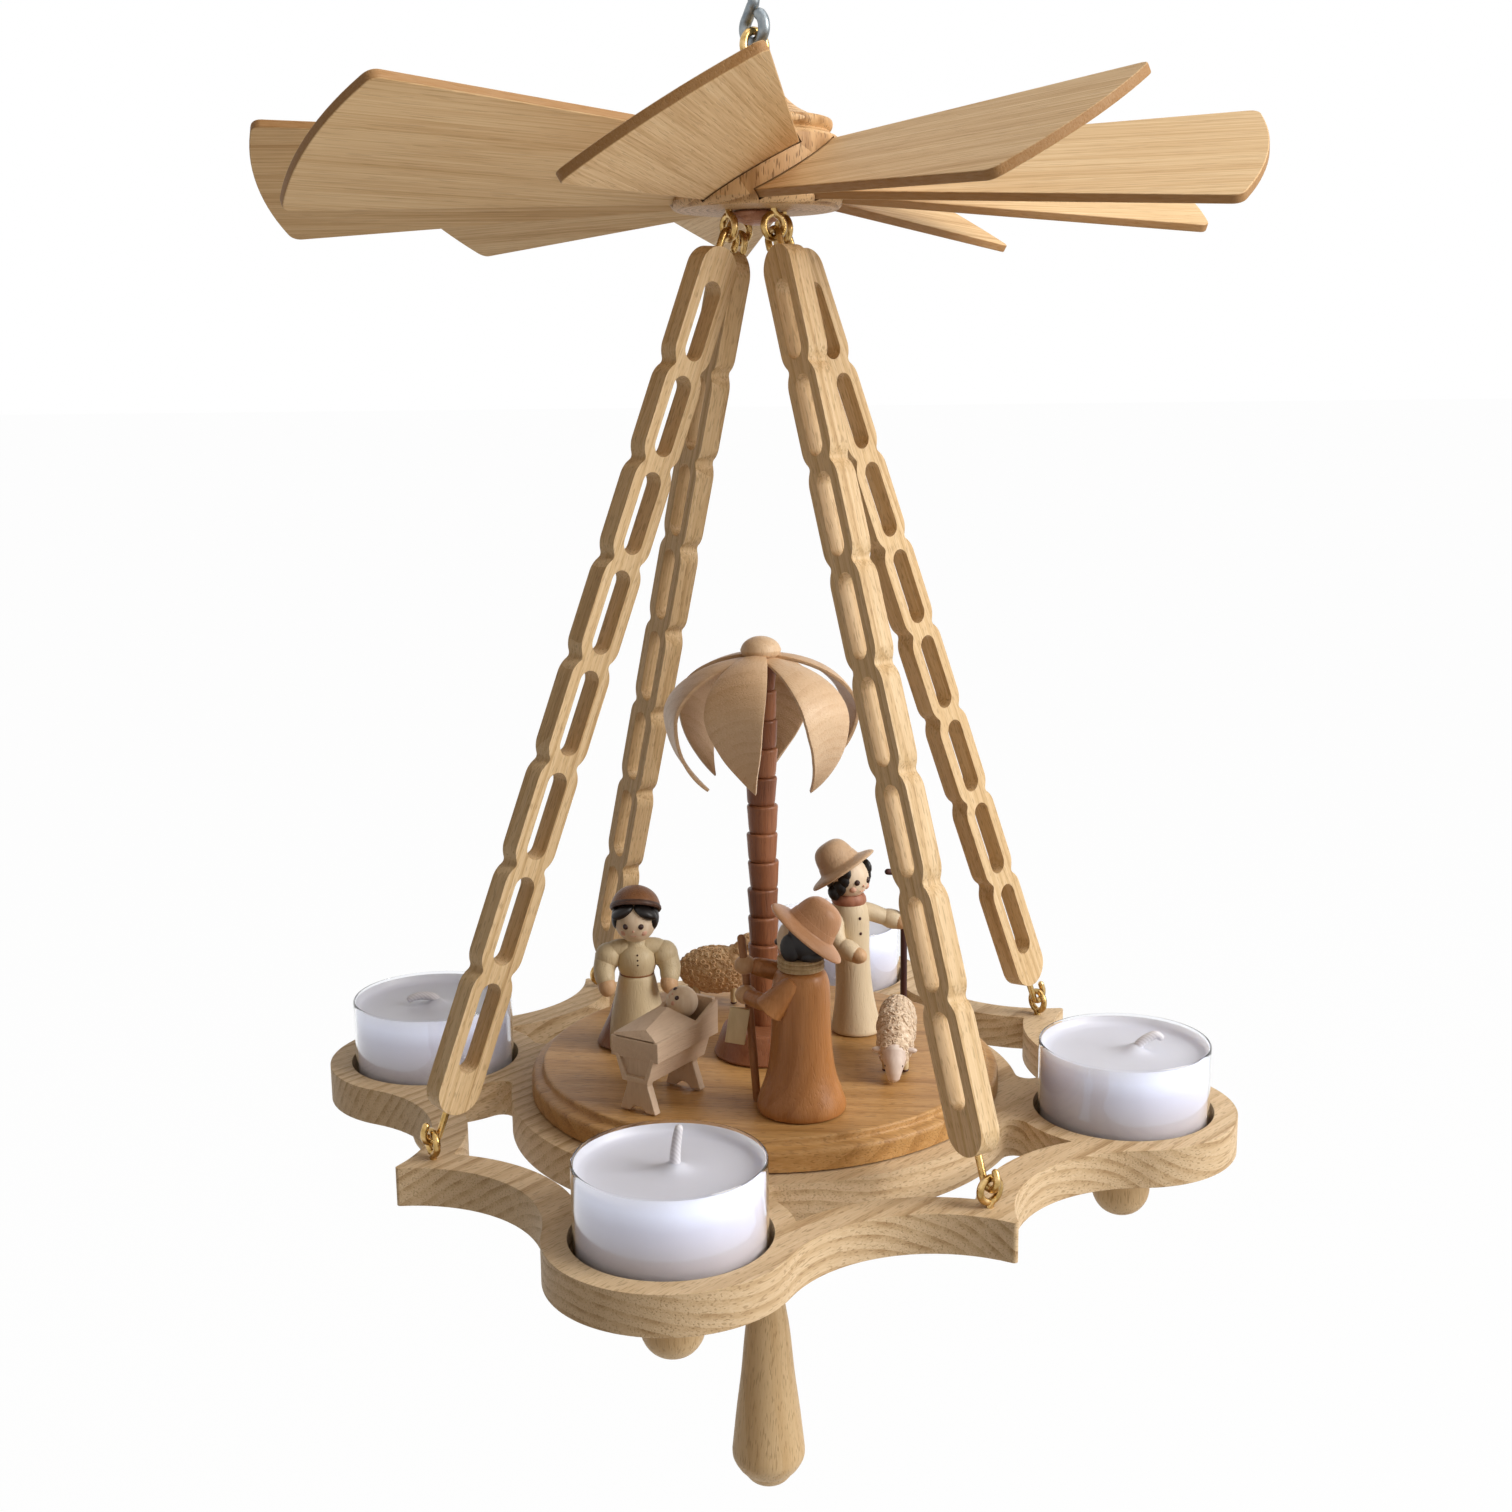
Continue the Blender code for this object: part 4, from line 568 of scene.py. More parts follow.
# Tealight cup: clear moulded polycarbonate that lets the lamps through to the wax. Its IOR is lower than the real
# plastic's, so that the thin wall stays pale.
def makeClearCup():
    material, tree, shader = startMaterial("clearMouldedPolycarbonate")
    for name, value in (("Base Color", hexColour("#FBFCFF")), ("IOR", 1.10), ("Coat Weight", 0.8),
                        ("Coat Roughness", 0.03), ("Transmission Weight", 1.0)):
        shader.inputs[name].default_value = value
    haze = addNode(tree, "ShaderNodeTexNoise", None, {
        "Vector": addNode(tree, "ShaderNodeTexCoord").outputs["Object"],
        "Scale": 1 / 0.004, "Detail": 2.0}).outputs["Fac"]
    rough = addNode(tree, "ShaderNodeMapRange", None, {"Value": haze, "To Min": 0.01, "To Max": 0.06}).outputs[0]
    tree.links.new(rough, shader.inputs["Roughness"])
    lamps = addNode(tree, "ShaderNodeLightPath").outputs["Is Shadow Ray"]
    clear = addNode(tree, "ShaderNodeBsdfTransparent", None, {"Color": hexColour("#F0F2F6")}).outputs[0]
    mixed = addNode(tree, "ShaderNodeMixShader", None, {0: lamps, 1: shader.outputs[0], 2: clear}).outputs[0]
    tree.links.new(mixed, tree.nodes["Material Output"].inputs["Surface"])
    return material


# Wick: braided cotton dipped in wax
def makeCotton():
    material, tree, _ = startMaterial("waxedCottonWick")
    braid = addNode(tree, "ShaderNodeTexWave", {"bands_direction": "DIAGONAL"}, {
        "Vector": addNode(tree, "ShaderNodeTexCoord").outputs["Object"],
        "Scale": waveScale / 0.0005, "Distortion": 1.0}).outputs["Fac"]
    colour = addNode(tree, "ShaderNodeValToRGB", None, {"Fac": braid}, (
        (0.2, "#D6D5DC"), (0.8, "#E4E3EA"))).outputs[0]
    setSurface(tree, colour, braid, (0.5, 0.7), braid, 0.1, 0.0001)
    return material


creamWool = makeWool("creamWoolCurls", ((0.30, "#B4977A"), (0.50, "#DCC5AA"), (0.72, "#F2E4D0")))
goldenWool = makeWool("goldenWoolCurls", ((0.30, "#BE946A"), (0.50, "#DDB88A"), (0.72, "#F2DAB2")))
paraffin = makeWax()
clearCup = makeClearCup()
cotton = makeCotton()


# Node trees for what repeats

def newTree(name, sockets):
    tree = bpy.data.node_groups.new(name, "GeometryNodeTree")
    tree.interface.new_socket(name="Geometry", in_out="INPUT", socket_type="NodeSocketGeometry")
    for label, kind in sockets:
        tree.interface.new_socket(name=label, in_out="INPUT", socket_type="NodeSocket" + kind)
    tree.interface.new_socket(name="Geometry", in_out="OUTPUT", socket_type="NodeSocketGeometry")
    return tree


# Copies stand round the axis. Each gets its own place in the timber and its own tone.
def makeCircleTree():
    tree = newTree("copiesRoundCircle", (
        ("Count", "Int"), ("First Turn", "Float"), ("Radius", "Float"), ("Height", "Float"), ("Pitch", "Float"),
        ("Sink", "Float"), ("Seed", "Int"), ("Material", "Material")))
    given = addNode(tree, "NodeGroupInput").outputs
    index = addNode(tree, "GeometryNodeInputIndex").outputs[0]
    step = addNode(tree, "ShaderNodeMath", {"operation": "DIVIDE"}, {0: full, 1: given["Count"]}).outputs[0]
    turn = addNode(tree, "ShaderNodeMath", {"operation": "MULTIPLY_ADD"}, {
        0: index, 1: step, 2: given["First Turn"]}).outputs[0]
    x, y = (addNode(tree, "ShaderNodeMath", {"operation": "MULTIPLY"}, {0: addNode(
        tree, "ShaderNodeMath", {"operation": wave}, {0: turn}).outputs[0], 1: given["Radius"]}).outputs[0]
        for wave in ("COSINE", "SINE"))
    odd = addNode(tree, "ShaderNodeMath", {"operation": "MODULO"}, {0: index, 1: 2.0}).outputs[0]
    drop = addNode(tree, "ShaderNodeMath", {"operation": "MULTIPLY"}, {0: odd, 1: given["Sink"]}).outputs[0]
    z = addNode(tree, "ShaderNodeMath", {"operation": "SUBTRACT"}, {0: given["Height"], 1: drop}).outputs[0]
    place = addNode(tree, "ShaderNodeCombineXYZ", None, {0: x, 1: y, 2: z}).outputs[0]
    facing = addNode(tree, "ShaderNodeCombineXYZ", None, {0: given["Pitch"], 2: turn}).outputs[0]
    points = addNode(tree, "GeometryNodePoints", None, {"Count": given["Count"], "Position": place}).outputs[0]
    copies = addNode(tree, "GeometryNodeInstanceOnPoints", None, {
        "Points": points, "Instance": given["Geometry"], "Rotation": facing}).outputs[0]
    finishCopies(tree, copies, given)
    return tree


def finishCopies(tree, copies, given):
    copies = addNode(tree, "GeometryNodeStoreNamedAttribute", {"data_type": "INT", "domain": "INSTANCE"}, {
        "Geometry": copies, "Name": "copy", "Value": addNode(tree, "GeometryNodeInputIndex").outputs[0]}).outputs[0]
    solid = addNode(tree, "GeometryNodeRealizeInstances", None, {"Geometry": copies}).outputs[0]
    number = addNode(tree, "GeometryNodeInputNamedAttribute", {"data_type": "INT"}, {"Name": "copy"}).outputs[0]
    chance = addNode(tree, "FunctionNodeRandomValue", {"data_type": "FLOAT_VECTOR"}, {
        0: (-0.5, -0.006, -0.006), 1: (0.5, 0.006, 0.006), "ID": number, "Seed": given["Seed"]}).outputs[0]
    grain = addNode(tree, "GeometryNodeInputNamedAttribute", {"data_type": "FLOAT_VECTOR"}, {
        "Name": "grain"}).outputs[0]
    grain = addNode(tree, "ShaderNodeVectorMath", {"operation": "ADD"}, {0: grain, 1: chance}).outputs[0]
    solid = addNode(tree, "GeometryNodeStoreNamedAttribute", {"data_type": "FLOAT_VECTOR"}, {
        "Geometry": solid, "Name": "grain", "Value": grain}).outputs[0]
    tone = addNode(tree, "FunctionNodeRandomValue", {"data_type": "FLOAT"}, {
        "ID": number, "Seed": given["Seed"]}).outputs[1]
    solid = addNode(tree, "GeometryNodeStoreNamedAttribute", {"data_type": "FLOAT"}, {
        "Geometry": solid, "Name": "tone", "Value": tone}).outputs[0]
    solid = addNode(tree, "GeometryNodeSetMaterial", None, {
        "Geometry": solid, "Material": given["Material"]}).outputs[0]
    addNode(tree, "NodeGroupOutput", None, {"Geometry": solid})


# Turned rings stacked down the axis, each a little off centre and turned its own way
def makeStackTree():
    tree = newTree("stackOfRings", (
        ("Count", "Int"), ("Step", "Float"), ("Top", "Float"), ("Shift", "Float"), ("Seed", "Int"),
        ("Material", "Material")))
    given = addNode(tree, "NodeGroupInput").outputs
    index = addNode(tree, "GeometryNodeInputIndex").outputs[0]
    down = addNode(tree, "ShaderNodeMath", {"operation": "MULTIPLY"}, {0: index, 1: given["Step"]}).outputs[0]
    z = addNode(tree, "ShaderNodeMath", {"operation": "SUBTRACT"}, {0: given["Top"], 1: down}).outputs[0]
    straight = addNode(tree, "ShaderNodeCombineXYZ", None, {2: z}).outputs[0]
    chance = addNode(tree, "FunctionNodeRandomValue", {"data_type": "FLOAT_VECTOR"}, {
        0: (-1.0, -1.0, 0.0), 1: (1.0, 1.0, 0.0), "ID": index, "Seed": given["Seed"]}).outputs[0]
    side = addNode(tree, "ShaderNodeVectorMath", {"operation": "SCALE"},
                   {0: chance, "Scale": given["Shift"]}).outputs[0]
    place = addNode(tree, "ShaderNodeVectorMath", {"operation": "ADD"}, {0: straight, 1: side}).outputs[0]
    points = addNode(tree, "GeometryNodePoints", None, {"Count": given["Count"], "Position": place}).outputs[0]
    turn = addNode(tree, "FunctionNodeRandomValue", {"data_type": "FLOAT_VECTOR"}, {
        0: (-0.03, -0.03, 0.0), 1: (0.03, 0.03, full), "ID": index, "Seed": given["Seed"]}).outputs[0]
    copies = addNode(tree, "GeometryNodeInstanceOnPoints", None, {
        "Points": points, "Instance": given["Geometry"], "Rotation": turn}).outputs[0]
    finishCopies(tree, copies, given)
    return tree


# Small curls of yarn, spread evenly over a coat and lying on it
def makeCurlTree():
    tree = newTree("curlsOnCoat", (
        ("Gap", "Float"), ("Curl Size", "Float"), ("Yarn", "Float"), ("Seed", "Int"), ("Material", "Material")))
    given = addNode(tree, "NodeGroupInput").outputs
    spread = addNode(tree, "GeometryNodeDistributePointsOnFaces", {"distribute_method": "POISSON"}, {
        "Mesh": given["Geometry"], "Distance Min": given["Gap"], "Density Max": 2.0e6, "Seed": given["Seed"]})
    curl = addNode(tree, "GeometryNodeCurveSpiral", None, {
        "Resolution": 7, "Rotations": 1.35, "Start Radius": 0.0001, "End Radius": given["Curl Size"],
        "Height": 0.0}).outputs[0]
    yarn = addNode(tree, "GeometryNodeCurvePrimitiveCircle", None, {
        "Resolution": 5, "Radius": given["Yarn"]}).outputs[0]
    curl = addNode(tree, "GeometryNodeCurveToMesh", None,
                   {"Curve": curl, "Profile Curve": yarn, "Fill Caps": True}).outputs[0]
    curl = addNode(tree, "GeometryNodeSetShadeSmooth", None, {"Geometry": curl}).outputs[0]
    spin = addNode(tree, "FunctionNodeRandomValue", {"data_type": "FLOAT"}, {
        "Max": full, "Seed": given["Seed"]}).outputs[1]
    spinZ = addNode(tree, "ShaderNodeCombineXYZ", None, {2: spin}).outputs[0]
    facing = addNode(tree, "FunctionNodeRotateRotation", {"rotation_space": "LOCAL"}, {
        0: spread.outputs["Rotation"], 1: spinZ}).outputs[0]
    size = addNode(tree, "FunctionNodeRandomValue", {"data_type": "FLOAT"}, {
        2: 0.75, 3: 1.2, "Seed": given["Seed"]}).outputs[1]
    copies = addNode(tree, "GeometryNodeInstanceOnPoints", None, {
        "Points": spread.outputs["Points"], "Instance": curl, "Rotation": facing, "Scale": size}).outputs[0]
    both = addNode(tree, "GeometryNodeJoinGeometry")
    tree.links.new(copies, both.inputs[0])
    tree.links.new(given["Geometry"], both.inputs[0])
    solid = addNode(tree, "GeometryNodeRealizeInstances", None, {"Geometry": both.outputs[0]}).outputs[0]
    solid = addNode(tree, "GeometryNodeSetMaterial", None, {
        "Geometry": solid, "Material": given["Material"]}).outputs[0]
    addNode(tree, "NodeGroupOutput", None, {"Geometry": solid})
    return tree


def growNodes(obj, tree, values):
    change = obj.modifiers.new("nodes", "NODES")
    change.node_group = tree
    for item in tree.interface.items_tree:
        if item.in_out == "INPUT" and item.name in values:
            change[item.identifier] = values[item.name]
    applyModifiers(obj)


circleTree = makeCircleTree()
stackTree = makeStackTree()
curlTree = makeCurlTree()
print("node trees made")


# Hanger and swivel hook

hangerSizes = {"wire": 0.0013, "hook": 0.0055, "lip": 0.0060, "drop": 0.050, "eye": 0.0031, "kink": 0.0075,
               "turn": math.radians(-50), "close": math.radians(57), "return": 0.0170}


def buildHanger(body):
    s = hangerSizes
    hookZ, eyeZ = -(s["hook"] - s["wire"]), -s["drop"]
    points = [(-s["hook"], hookZ - s["lip"])] + arc((0, hookZ), s["hook"], math.pi, 0.0, 28)
    for index in range(1, 13):
        share = index / 12
        points.append((s["hook"] * (1 + math.cos(math.pi * share)) / 2, hookZ - s["return"] * share))
    points += smoothLine([(0, hookZ - s["return"] - 0.001), (0, eyeZ + s["kink"]),
                          (-s["eye"] / 4, eyeZ + s["eye"] * 1.4)], 5)
    points += arc((0, eyeZ), s["eye"], math.pi * 3 / 4, full + s["close"], 36)
    addTube(body, [(x, 0, z) for x, z in points], s["wire"], 16, radialFrame(s["turn"]))


finishPiece(meshObject("hangerWire", buildHanger), [galvanisedSteel], "hanger_wire", ["hanger"])

swivelSizes = {"wire": 0.0009, "loop": 0.0031, "start": math.radians(35), "end": math.radians(35), "rise": 0.0022}
swivelLoopZ = -0.0537


def buildSwivel(body):
    s = swivelSizes
    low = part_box("swivel_hook")[0].z
    bendZ = swivelLoopZ - s["loop"] - s["rise"] / 2
    points = [(0, low), (0, bendZ - 0.001), (0, bendZ)]
    points += arc((0, swivelLoopZ), s["loop"], -quarter + s["start"], math.pi + s["end"], 32)
    line = smoothLine(points[:4], 5)[:-1] + points[3:]
    addTube(body, [(x, 0, z) for x, z in line], s["wire"], 14, radialFrame(hangerSizes["turn"] - quarter))


finishPiece(meshObject("swivelHook", buildSwivel), [drawnBrass], "swivel", ["swivel_hook"])
for inner, look in (("thrust_bearing", bearingSteel), ("spindle_nut", drawnBrass), ("hub_bush", drawnBrass)):
    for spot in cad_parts[inner].material_slots:
        spot.material = look
print("hanger and swivel made")


# Hub, plug, vanes and their eyes

vaneSizes = {"count": 9, "first": math.radians(-99.4), "pitch": math.radians(29.5), "thick": 0.0020, "over": 0.0072,
             "root": 0.0135, "corner": 0.1040, "bulge": 0.0035, "rootLow": 0.0106, "rootHigh": 0.0124,
             "tipLow": 0.0213, "tipHigh": 0.0195, "round": 0.0025, "gap": 0.0003}
hubSizes = {"bore": 0.0015, "bushBore": 0.0024, "bushDepth": 0.0063, "pocket": 0.0046, "pocketDepth": 0.0105,
            "height": 0.0286}
hubOuter = ((2.4, 28.6), (2.4, 28.6), (3.2, 28.6), (3.7, 28.1), (4.3, 26.4), (5.0, 25.2), (5.8, 24.2), (7.5, 22.5),
            (9.3, 21.1), (11.1, 20.15), (12.6, 19.45), (14.0, 19.0), (15.3, 18.85), (16.3, 18.55), (16.65, 17.9),
            (16.65, 17.3), (16.45, 16.65), (15.95, 16.1), (15.95, 16.1), (16.6, 15.5), (17.4, 15.15), (17.85, 14.7),
            (18.0, 14.0), (18.3, 10.0), (18.85, 2.6), (18.85, 1.6), (18.45, 0.7), (17.7, 0.05), (17.0, 0.0),
            (17.0, 0.0))


def vaneOutline(gap):
    s = vaneSizes
    low, high = (s["corner"], -s["tipLow"] - gap), (s["corner"], s["tipHigh"] + gap)
    chord = high[1] - low[1]
    radius = (chord ** 2 / 4 + s["bulge"] ** 2) / (2 * s["bulge"])
    spread = math.asin(chord / 2 / radius)
    tip = arc((s["corner"] + s["bulge"] - radius, (low[1] + high[1]) / 2), radius, -spread, spread, 16)
    root = s["root"] - gap
    corners = [(root, -s["rootLow"] - gap), low, high, (root, s["rootHigh"] + gap)]
    return ([corners[0]] + roundCorner(corners[0], low, tip[1], s["round"]) + tip[1:-1]
            + roundCorner(tip[-2], high, corners[3], s["round"]) + [corners[3]])


def roundCorner(before, corner, after, radius, steps=6):
    corner = Vector(corner)
    one, two = (Vector(before) - corner).normalized(), (Vector(after) - corner).normalized()
    half = one.angle(two) / 2
    middle = corner + (one + two).normalized() * radius / math.sin(half)
    start, end = (corner + way * radius / math.tan(half) - middle for way in (one, two))
    first = math.atan2(start.y, start.x)
    sweep = (math.atan2(end.y, end.x) - first + math.pi) % full - math.pi
    return arc(middle, radius, first, first + sweep, steps)


def vaneFrame(index):
    s = vaneSizes
    return (radialFrame(s["first"] + full * index / s["count"], hubBase + s["over"])
            @ Matrix.Rotation(s["pitch"], 4, "X"))


def buildHub(body):
    s = hubSizes
    pocketTop, bushBase = hubBase + s["pocketDepth"], hubBase + s["height"] - s["bushDepth"]
    inner = [(s["pocket"], hubBase), (s["pocket"], pocketTop), (s["bore"], pocketTop), (s["bore"], bushBase),
             (s["bushBore"], bushBase)]
    addLathe(body, profile(hubOuter, hubBase) + inner, 120)


hub = meshObject("turnedHub", buildHub)
slotThick = vaneSizes["thick"] + 2 * vaneSizes["gap"]
cutAway(hub, [boardObject("slot", [vaneOutline(vaneSizes["gap"])], slotThick, vaneFrame(index))
              for index in range(vaneSizes["count"])])
finishPiece(hub, [hubBeech], "rotor", ["hub"], 40, True, timber((0.0020, -0.0015, hubBase), 0, 90))


def buildPlug(body):
    outline = [(0.0, 2.2), (4.3, 2.2), (4.3, 2.2), (4.3, -0.3), (4.3, -0.3), (5.1, -0.3), (5.4, -0.5), (5.35, -0.9),
               (5.0, -1.6), (4.3, -2.2), (3.9, -2.35), (3.7, -2.3), (3.5, -2.45), (2.6, -2.8), (1.4, -3.02),
               (0.0, -3.1)]
    addLathe(body, profile(outline, hubBase), 48)


finishPiece(meshObject("hubPlug", buildPlug), [rosyBeech], "rotor", ["hub_plug"], weighted=True,
            grain=timber((0.0008, 0.0005, hubBase), 0, 90))

vanes = boardObject("vaneWheel", [vaneOutline(0.0)], vaneSizes["thick"])
roundEdges(vanes, 0.00030)
shadeSmooth(vanes, 50, weighted=True)
place = vanes.data.attributes.new("place", "FLOAT_VECTOR", "POINT")
place.data.foreach_set("vector", [value for vert in vanes.data.vertices for value in vert.co])
storeGrain(vanes, timber((0, 0.030, -0.055)))
growNodes(vanes, circleTree, {
    "Count": vaneSizes["count"], "First Turn": vaneSizes["first"], "Radius": 0.0,
    "Height": hubBase + vaneSizes["over"],
    "Pitch": vaneSizes["pitch"], "Sink": 0.0, "Seed": 7, "Material": vaneBeech})
fit(vanes, [vaneBeech], "rotor", [f"vane_{index}" for index in range(1, 10)])

screwSizes = {"wire": 0.0008, "eye": 0.0025, "neck": 0.0004, "hook": 0.0021, "reach": 0.0026, "lip": 0.0012,
              "shank": 0.0055, "lowReach": 0.00485, "hubCircle": 0.0070, "plateCircle": 0.0843}


# One wire: the shank, then round the ring and back to the shank. side is 1 for a shank above the ring.
def buildEye(side):
    s = screwSizes
    top = s["eye"] + s["wire"] + s["neck"] + s["shank"]
    ring = [(0, s["eye"] * math.sin(a), s["eye"] * math.cos(a)) for a in
            (math.radians(16 + 328 * index / 30) for index in range(31))]
    path = [(0, 0, top), (0, 0, top - s["shank"] * 0.5), (0, 0, s["eye"] + s["wire"] * 0.9)] + ring
    path = [(x, y, side * z) for x, y, z in path]
    return lambda body: addTube(body, path, s["wire"], 12)


for name, side, radius, height, node, body in (
        ("hubEyes", 1, screwSizes["hubCircle"], hubBase - 0.0037, "hub_eye_", "rotor"),
        ("plateEyes", -1, screwSizes["plateCircle"], plateTop + 0.0037, "plate_eye_", "gondola")):
    eyes = meshObject(name, buildEye(side))
    shadeSmooth(eyes)
    storeGrain(eyes)
    growNodes(eyes, circleTree, {"Count": 4, "First Turn": cornerTurn, "Radius": radius, "Height": height,
                                 "Pitch": 0.0, "Sink": 0.0, "Seed": 3, "Material": drawnBrass})
    fit(eyes, [drawnBrass], body, [f"{node}{index}" for index in range(1, 5)])
print("hub, vanes and eyes made")


# Arms and their hooks

armSizes = {"length": 0.1948, "thick": 0.0048, "lobes": 8, "firstLobe": 0.0165, "pitch": 0.0214, "grow": 1.0195,
            "lobeWidth": 0.0105, "widen": 1.007, "lobeShare": 1.10, "waistRound": 0.0012, "slotLength": 0.0177,
            "slotWidth": 0.0050, "lean": math.radians(21.2753), "edge": 0.0004, "tones": (0.25, 0.45, 0.75, 0.35),
            "twists": (2.0, 14.0, 0.0, 12.0)}
topHookZ = -0.0940


# The middle, half width and reach of each lobe, from the top end down: each is a little larger than the last
def armLobes():
    s = armSizes
    lobes, middle = [], -s["firstLobe"]
    for index in range(s["lobes"]):
        pitch = s["pitch"] * s["grow"] ** index
        radius = s["lobeWidth"] / 2 * s["widen"] ** index
        lobes.append((middle, radius, pitch * s["lobeShare"] / 2 - radius))
        middle -= pitch
    return lobes


def armOutlines():
    s = armSizes
    lobes = armLobes()
    soft = s["waistRound"]
    side = arc((0, -lobes[0][1]), lobes[0][1], quarter, 0, 10)
    for (middle, radius, reach), (nextMiddle, nextRadius, nextReach) in zip(lobes, lobes[1:]):
        above, below = (0.0, middle - reach), (0.0, nextMiddle + nextReach)
        waist = circlesMeet(above, radius + soft, below, nextRadius + soft, 1)
        side += arc(above, radius, 0, direction(above, waist), 6)
        side += arc(waist, soft, direction(waist, above), direction(waist, below) + full, 5)[1:-1]
        side += arc(below, nextRadius, direction(below, waist), 0, 6)
    radius = lobes[-1][1]
    side += arc((0, radius - s["length"]), radius, 0, -quarter, 10)
    outlines = [side + [(-x, y) for x, y in reversed(side[1:-1])]]
    for index, (middle, _, _) in enumerate(lobes):
        radius = s["slotWidth"] / 2 * s["widen"] ** index
        reach = s["slotLength"] / 2 * s["grow"] ** index - radius
        outlines.append(arc((0, middle + reach), radius, 0, math.pi, 12)
                        + arc((0, middle - reach), radius, math.pi, full, 12))
    return outlines


for index in range(4):
    s, w = armSizes, screwSizes
    turned = (radialFrame(cornerTurn + quarter * index) @ Matrix.Translation((w["hubCircle"], 0, topHookZ))
              @ Matrix.Rotation(-s["lean"], 4, "Y"))
    hooksLine = Vector((2 * w["hook"], 0, -w["reach"] - s["length"] - w["lowReach"]))
    turned = turned @ Matrix.Rotation(math.radians(-s["twists"][index]), 4, hooksLine)   # it hangs a little turned
    boardFrame = turned @ Matrix.Translation((w["hook"], 0, -w["reach"]))
    flat = boardFrame @ Matrix.Rotation(quarter, 4, "X")
    arm = boardObject(f"armSlat{index + 1}", armOutlines(), s["thick"])
    roundEdges(arm, s["edge"])
    shadeSmooth(arm, 50, weighted=True)
    storeGrain(arm, timber((0.11 * index, 0, 0)) @ Matrix.Rotation(quarter, 4, "Z")
               @ Matrix.Translation((0, 0.035 - 0.015 * index, 0.028 + 0.008 * index)), s["tones"][index])
    arm.data.transform(flat)
    fit(arm, [armBeech], f"hanging_arm_{index + 1}", [f"arm_{index + 1}"])

    bottomEnd = -w["reach"] - s["length"]
    bends = {
        "Top": [(w["hook"], -w["reach"] - w["shank"]), (w["hook"], -0.0008)]
        + arc((0, 0), w["hook"], 0, math.pi, 20)
        + [(-w["hook"], -w["lip"])],
        "Bottom": [(w["hook"], bottomEnd + w["shank"]), (w["hook"], bottomEnd - w["lowReach"] + 0.0008)]
        + arc((2 * w["hook"], bottomEnd - w["lowReach"]), w["hook"], math.pi, full, 20)
        + [(3 * w["hook"], bottomEnd - w["lowReach"] + w["lip"])]}
    for end, path in bends.items():
        hook = meshObject(f"arm{end}Hook{index + 1}", lambda body: addTube(
            body, [(x, 0, z) for x, z in path], w["wire"], 12, turned))
        finishPiece(hook, [drawnBrass], f"hanging_arm_{index + 1}", [f"arm_{end.lower()}_hook_{index + 1}"])
print("arms made")


# Base plate, platform, finial and knobs

plateSizes = {"thick": 0.0086, "disc": 0.0599, "candleCircle": 0.0837, "lobe": 0.0255, "corner": 0.0939,
              "cornerRound": 0.0008, "curve": 0.0310, "band": 0.0080, "openLobe": 0.0250, "fillet": 0.0030,
              "recess": 0.0203, "recessDepth": 0.0060, "edge": 0.0007}


def mirrored(points):
    return [(x, -y) for x, y in reversed(points)]


# A quarter of the plate: hollow curves from the corner to the lobe, and the opening inside them
def plateQuarter():
    s = plateSizes
    lobe = (s["candleCircle"] * math.cos(quarter / 2), s["candleCircle"] * math.sin(quarter / 2))
    curve = circlesMeet((s["corner"], 0), s["curve"], lobe, s["curve"] + s["lobe"], -1)
    roundX = curve[0] - math.sqrt((s["curve"] + s["cornerRound"]) ** 2 - curve[1] ** 2)
    tip = arc((roundX, 0), s["cornerRound"], 0, direction((roundX, 0), curve), 4)
    side = arc(curve, s["curve"], direction(curve, (roundX, 0)) + full, direction(curve, lobe), 20)
    start = direction(lobe, curve)
    outer = mirrored(side) + mirrored(tip)[:-1] + tip[:-1] + side + arc(lobe, s["lobe"], start, quarter - start,
        48)[1:-1]
    inner = s["curve"] + s["band"]
    point = (curve[0] - math.sqrt(inner ** 2 - curve[1] ** 2), 0.0)
    sideEnd = circlesMeet(curve, inner, lobe, s["openLobe"], 1)
    if sideEnd[0] > lobe[0] + s["openLobe"] or sideEnd[1] < 0:
        sideEnd = circlesMeet(curve, inner, lobe, s["openLobe"], -1)
    fillet = circlesMeet((0, 0), s["disc"] + s["fillet"], lobe, s["openLobe"] + s["fillet"], -1)
    toEnd = direction(curve, sideEnd)
    half = arc(curve, inner, direction(curve, point) + full, toEnd + full * (toEnd < 0), 14)
    half += arc(lobe, s["openLobe"], direction(lobe, sideEnd), direction(lobe, fillet), 12)[1:]
    half += arc(fillet, s["fillet"], direction(fillet, lobe), direction(fillet, (0, 0)) + full, 6)[1:]
    half += arc((0, 0), s["disc"], direction((0, 0), fillet), 0.0, 12)[1:]
    return outer, half[1:-1] + [half[-1]] + mirrored(half[1:-1]) + [half[0]]


def turnedPoints(points, turn):
    return [(x * math.cos(turn) - y * math.sin(turn), x * math.sin(turn) + y * math.cos(turn)) for x, y in points]


outer, opening = plateQuarter()
outline, openings = [], []
for index in range(4):
    outline += turnedPoints(outer, cornerTurn + quarter * index)
    openings.append(turnedPoints(opening, cornerTurn + quarter * index))
plate = boardObject("basePlate", [outline] + openings, plateSizes["thick"],
                    Matrix.Translation((0, 0, plateTop - plateSizes["thick"] / 2)))
recesses = []
for index in range(4):
    middle = polar(plateSizes["candleCircle"], candleTurn + quarter * index, plateTop)
    recesses.append(meshObject("recess", lambda body: addLathe(body, [
        (0, 0.002), (plateSizes["recess"], 0.002), (plateSizes["recess"], -plateSizes["recessDepth"]),
        (0, -plateSizes["recessDepth"])], 96, Matrix.Translation(middle))))
cutAway(plate, recesses)
roundEdges(plate, plateSizes["edge"], 3)
finishPiece(plate, [plateAsh], "gondola", ["base_plate"], 50, True,
            timber((0.020, -0.030, plateTop - 0.070), 48, 1.5))

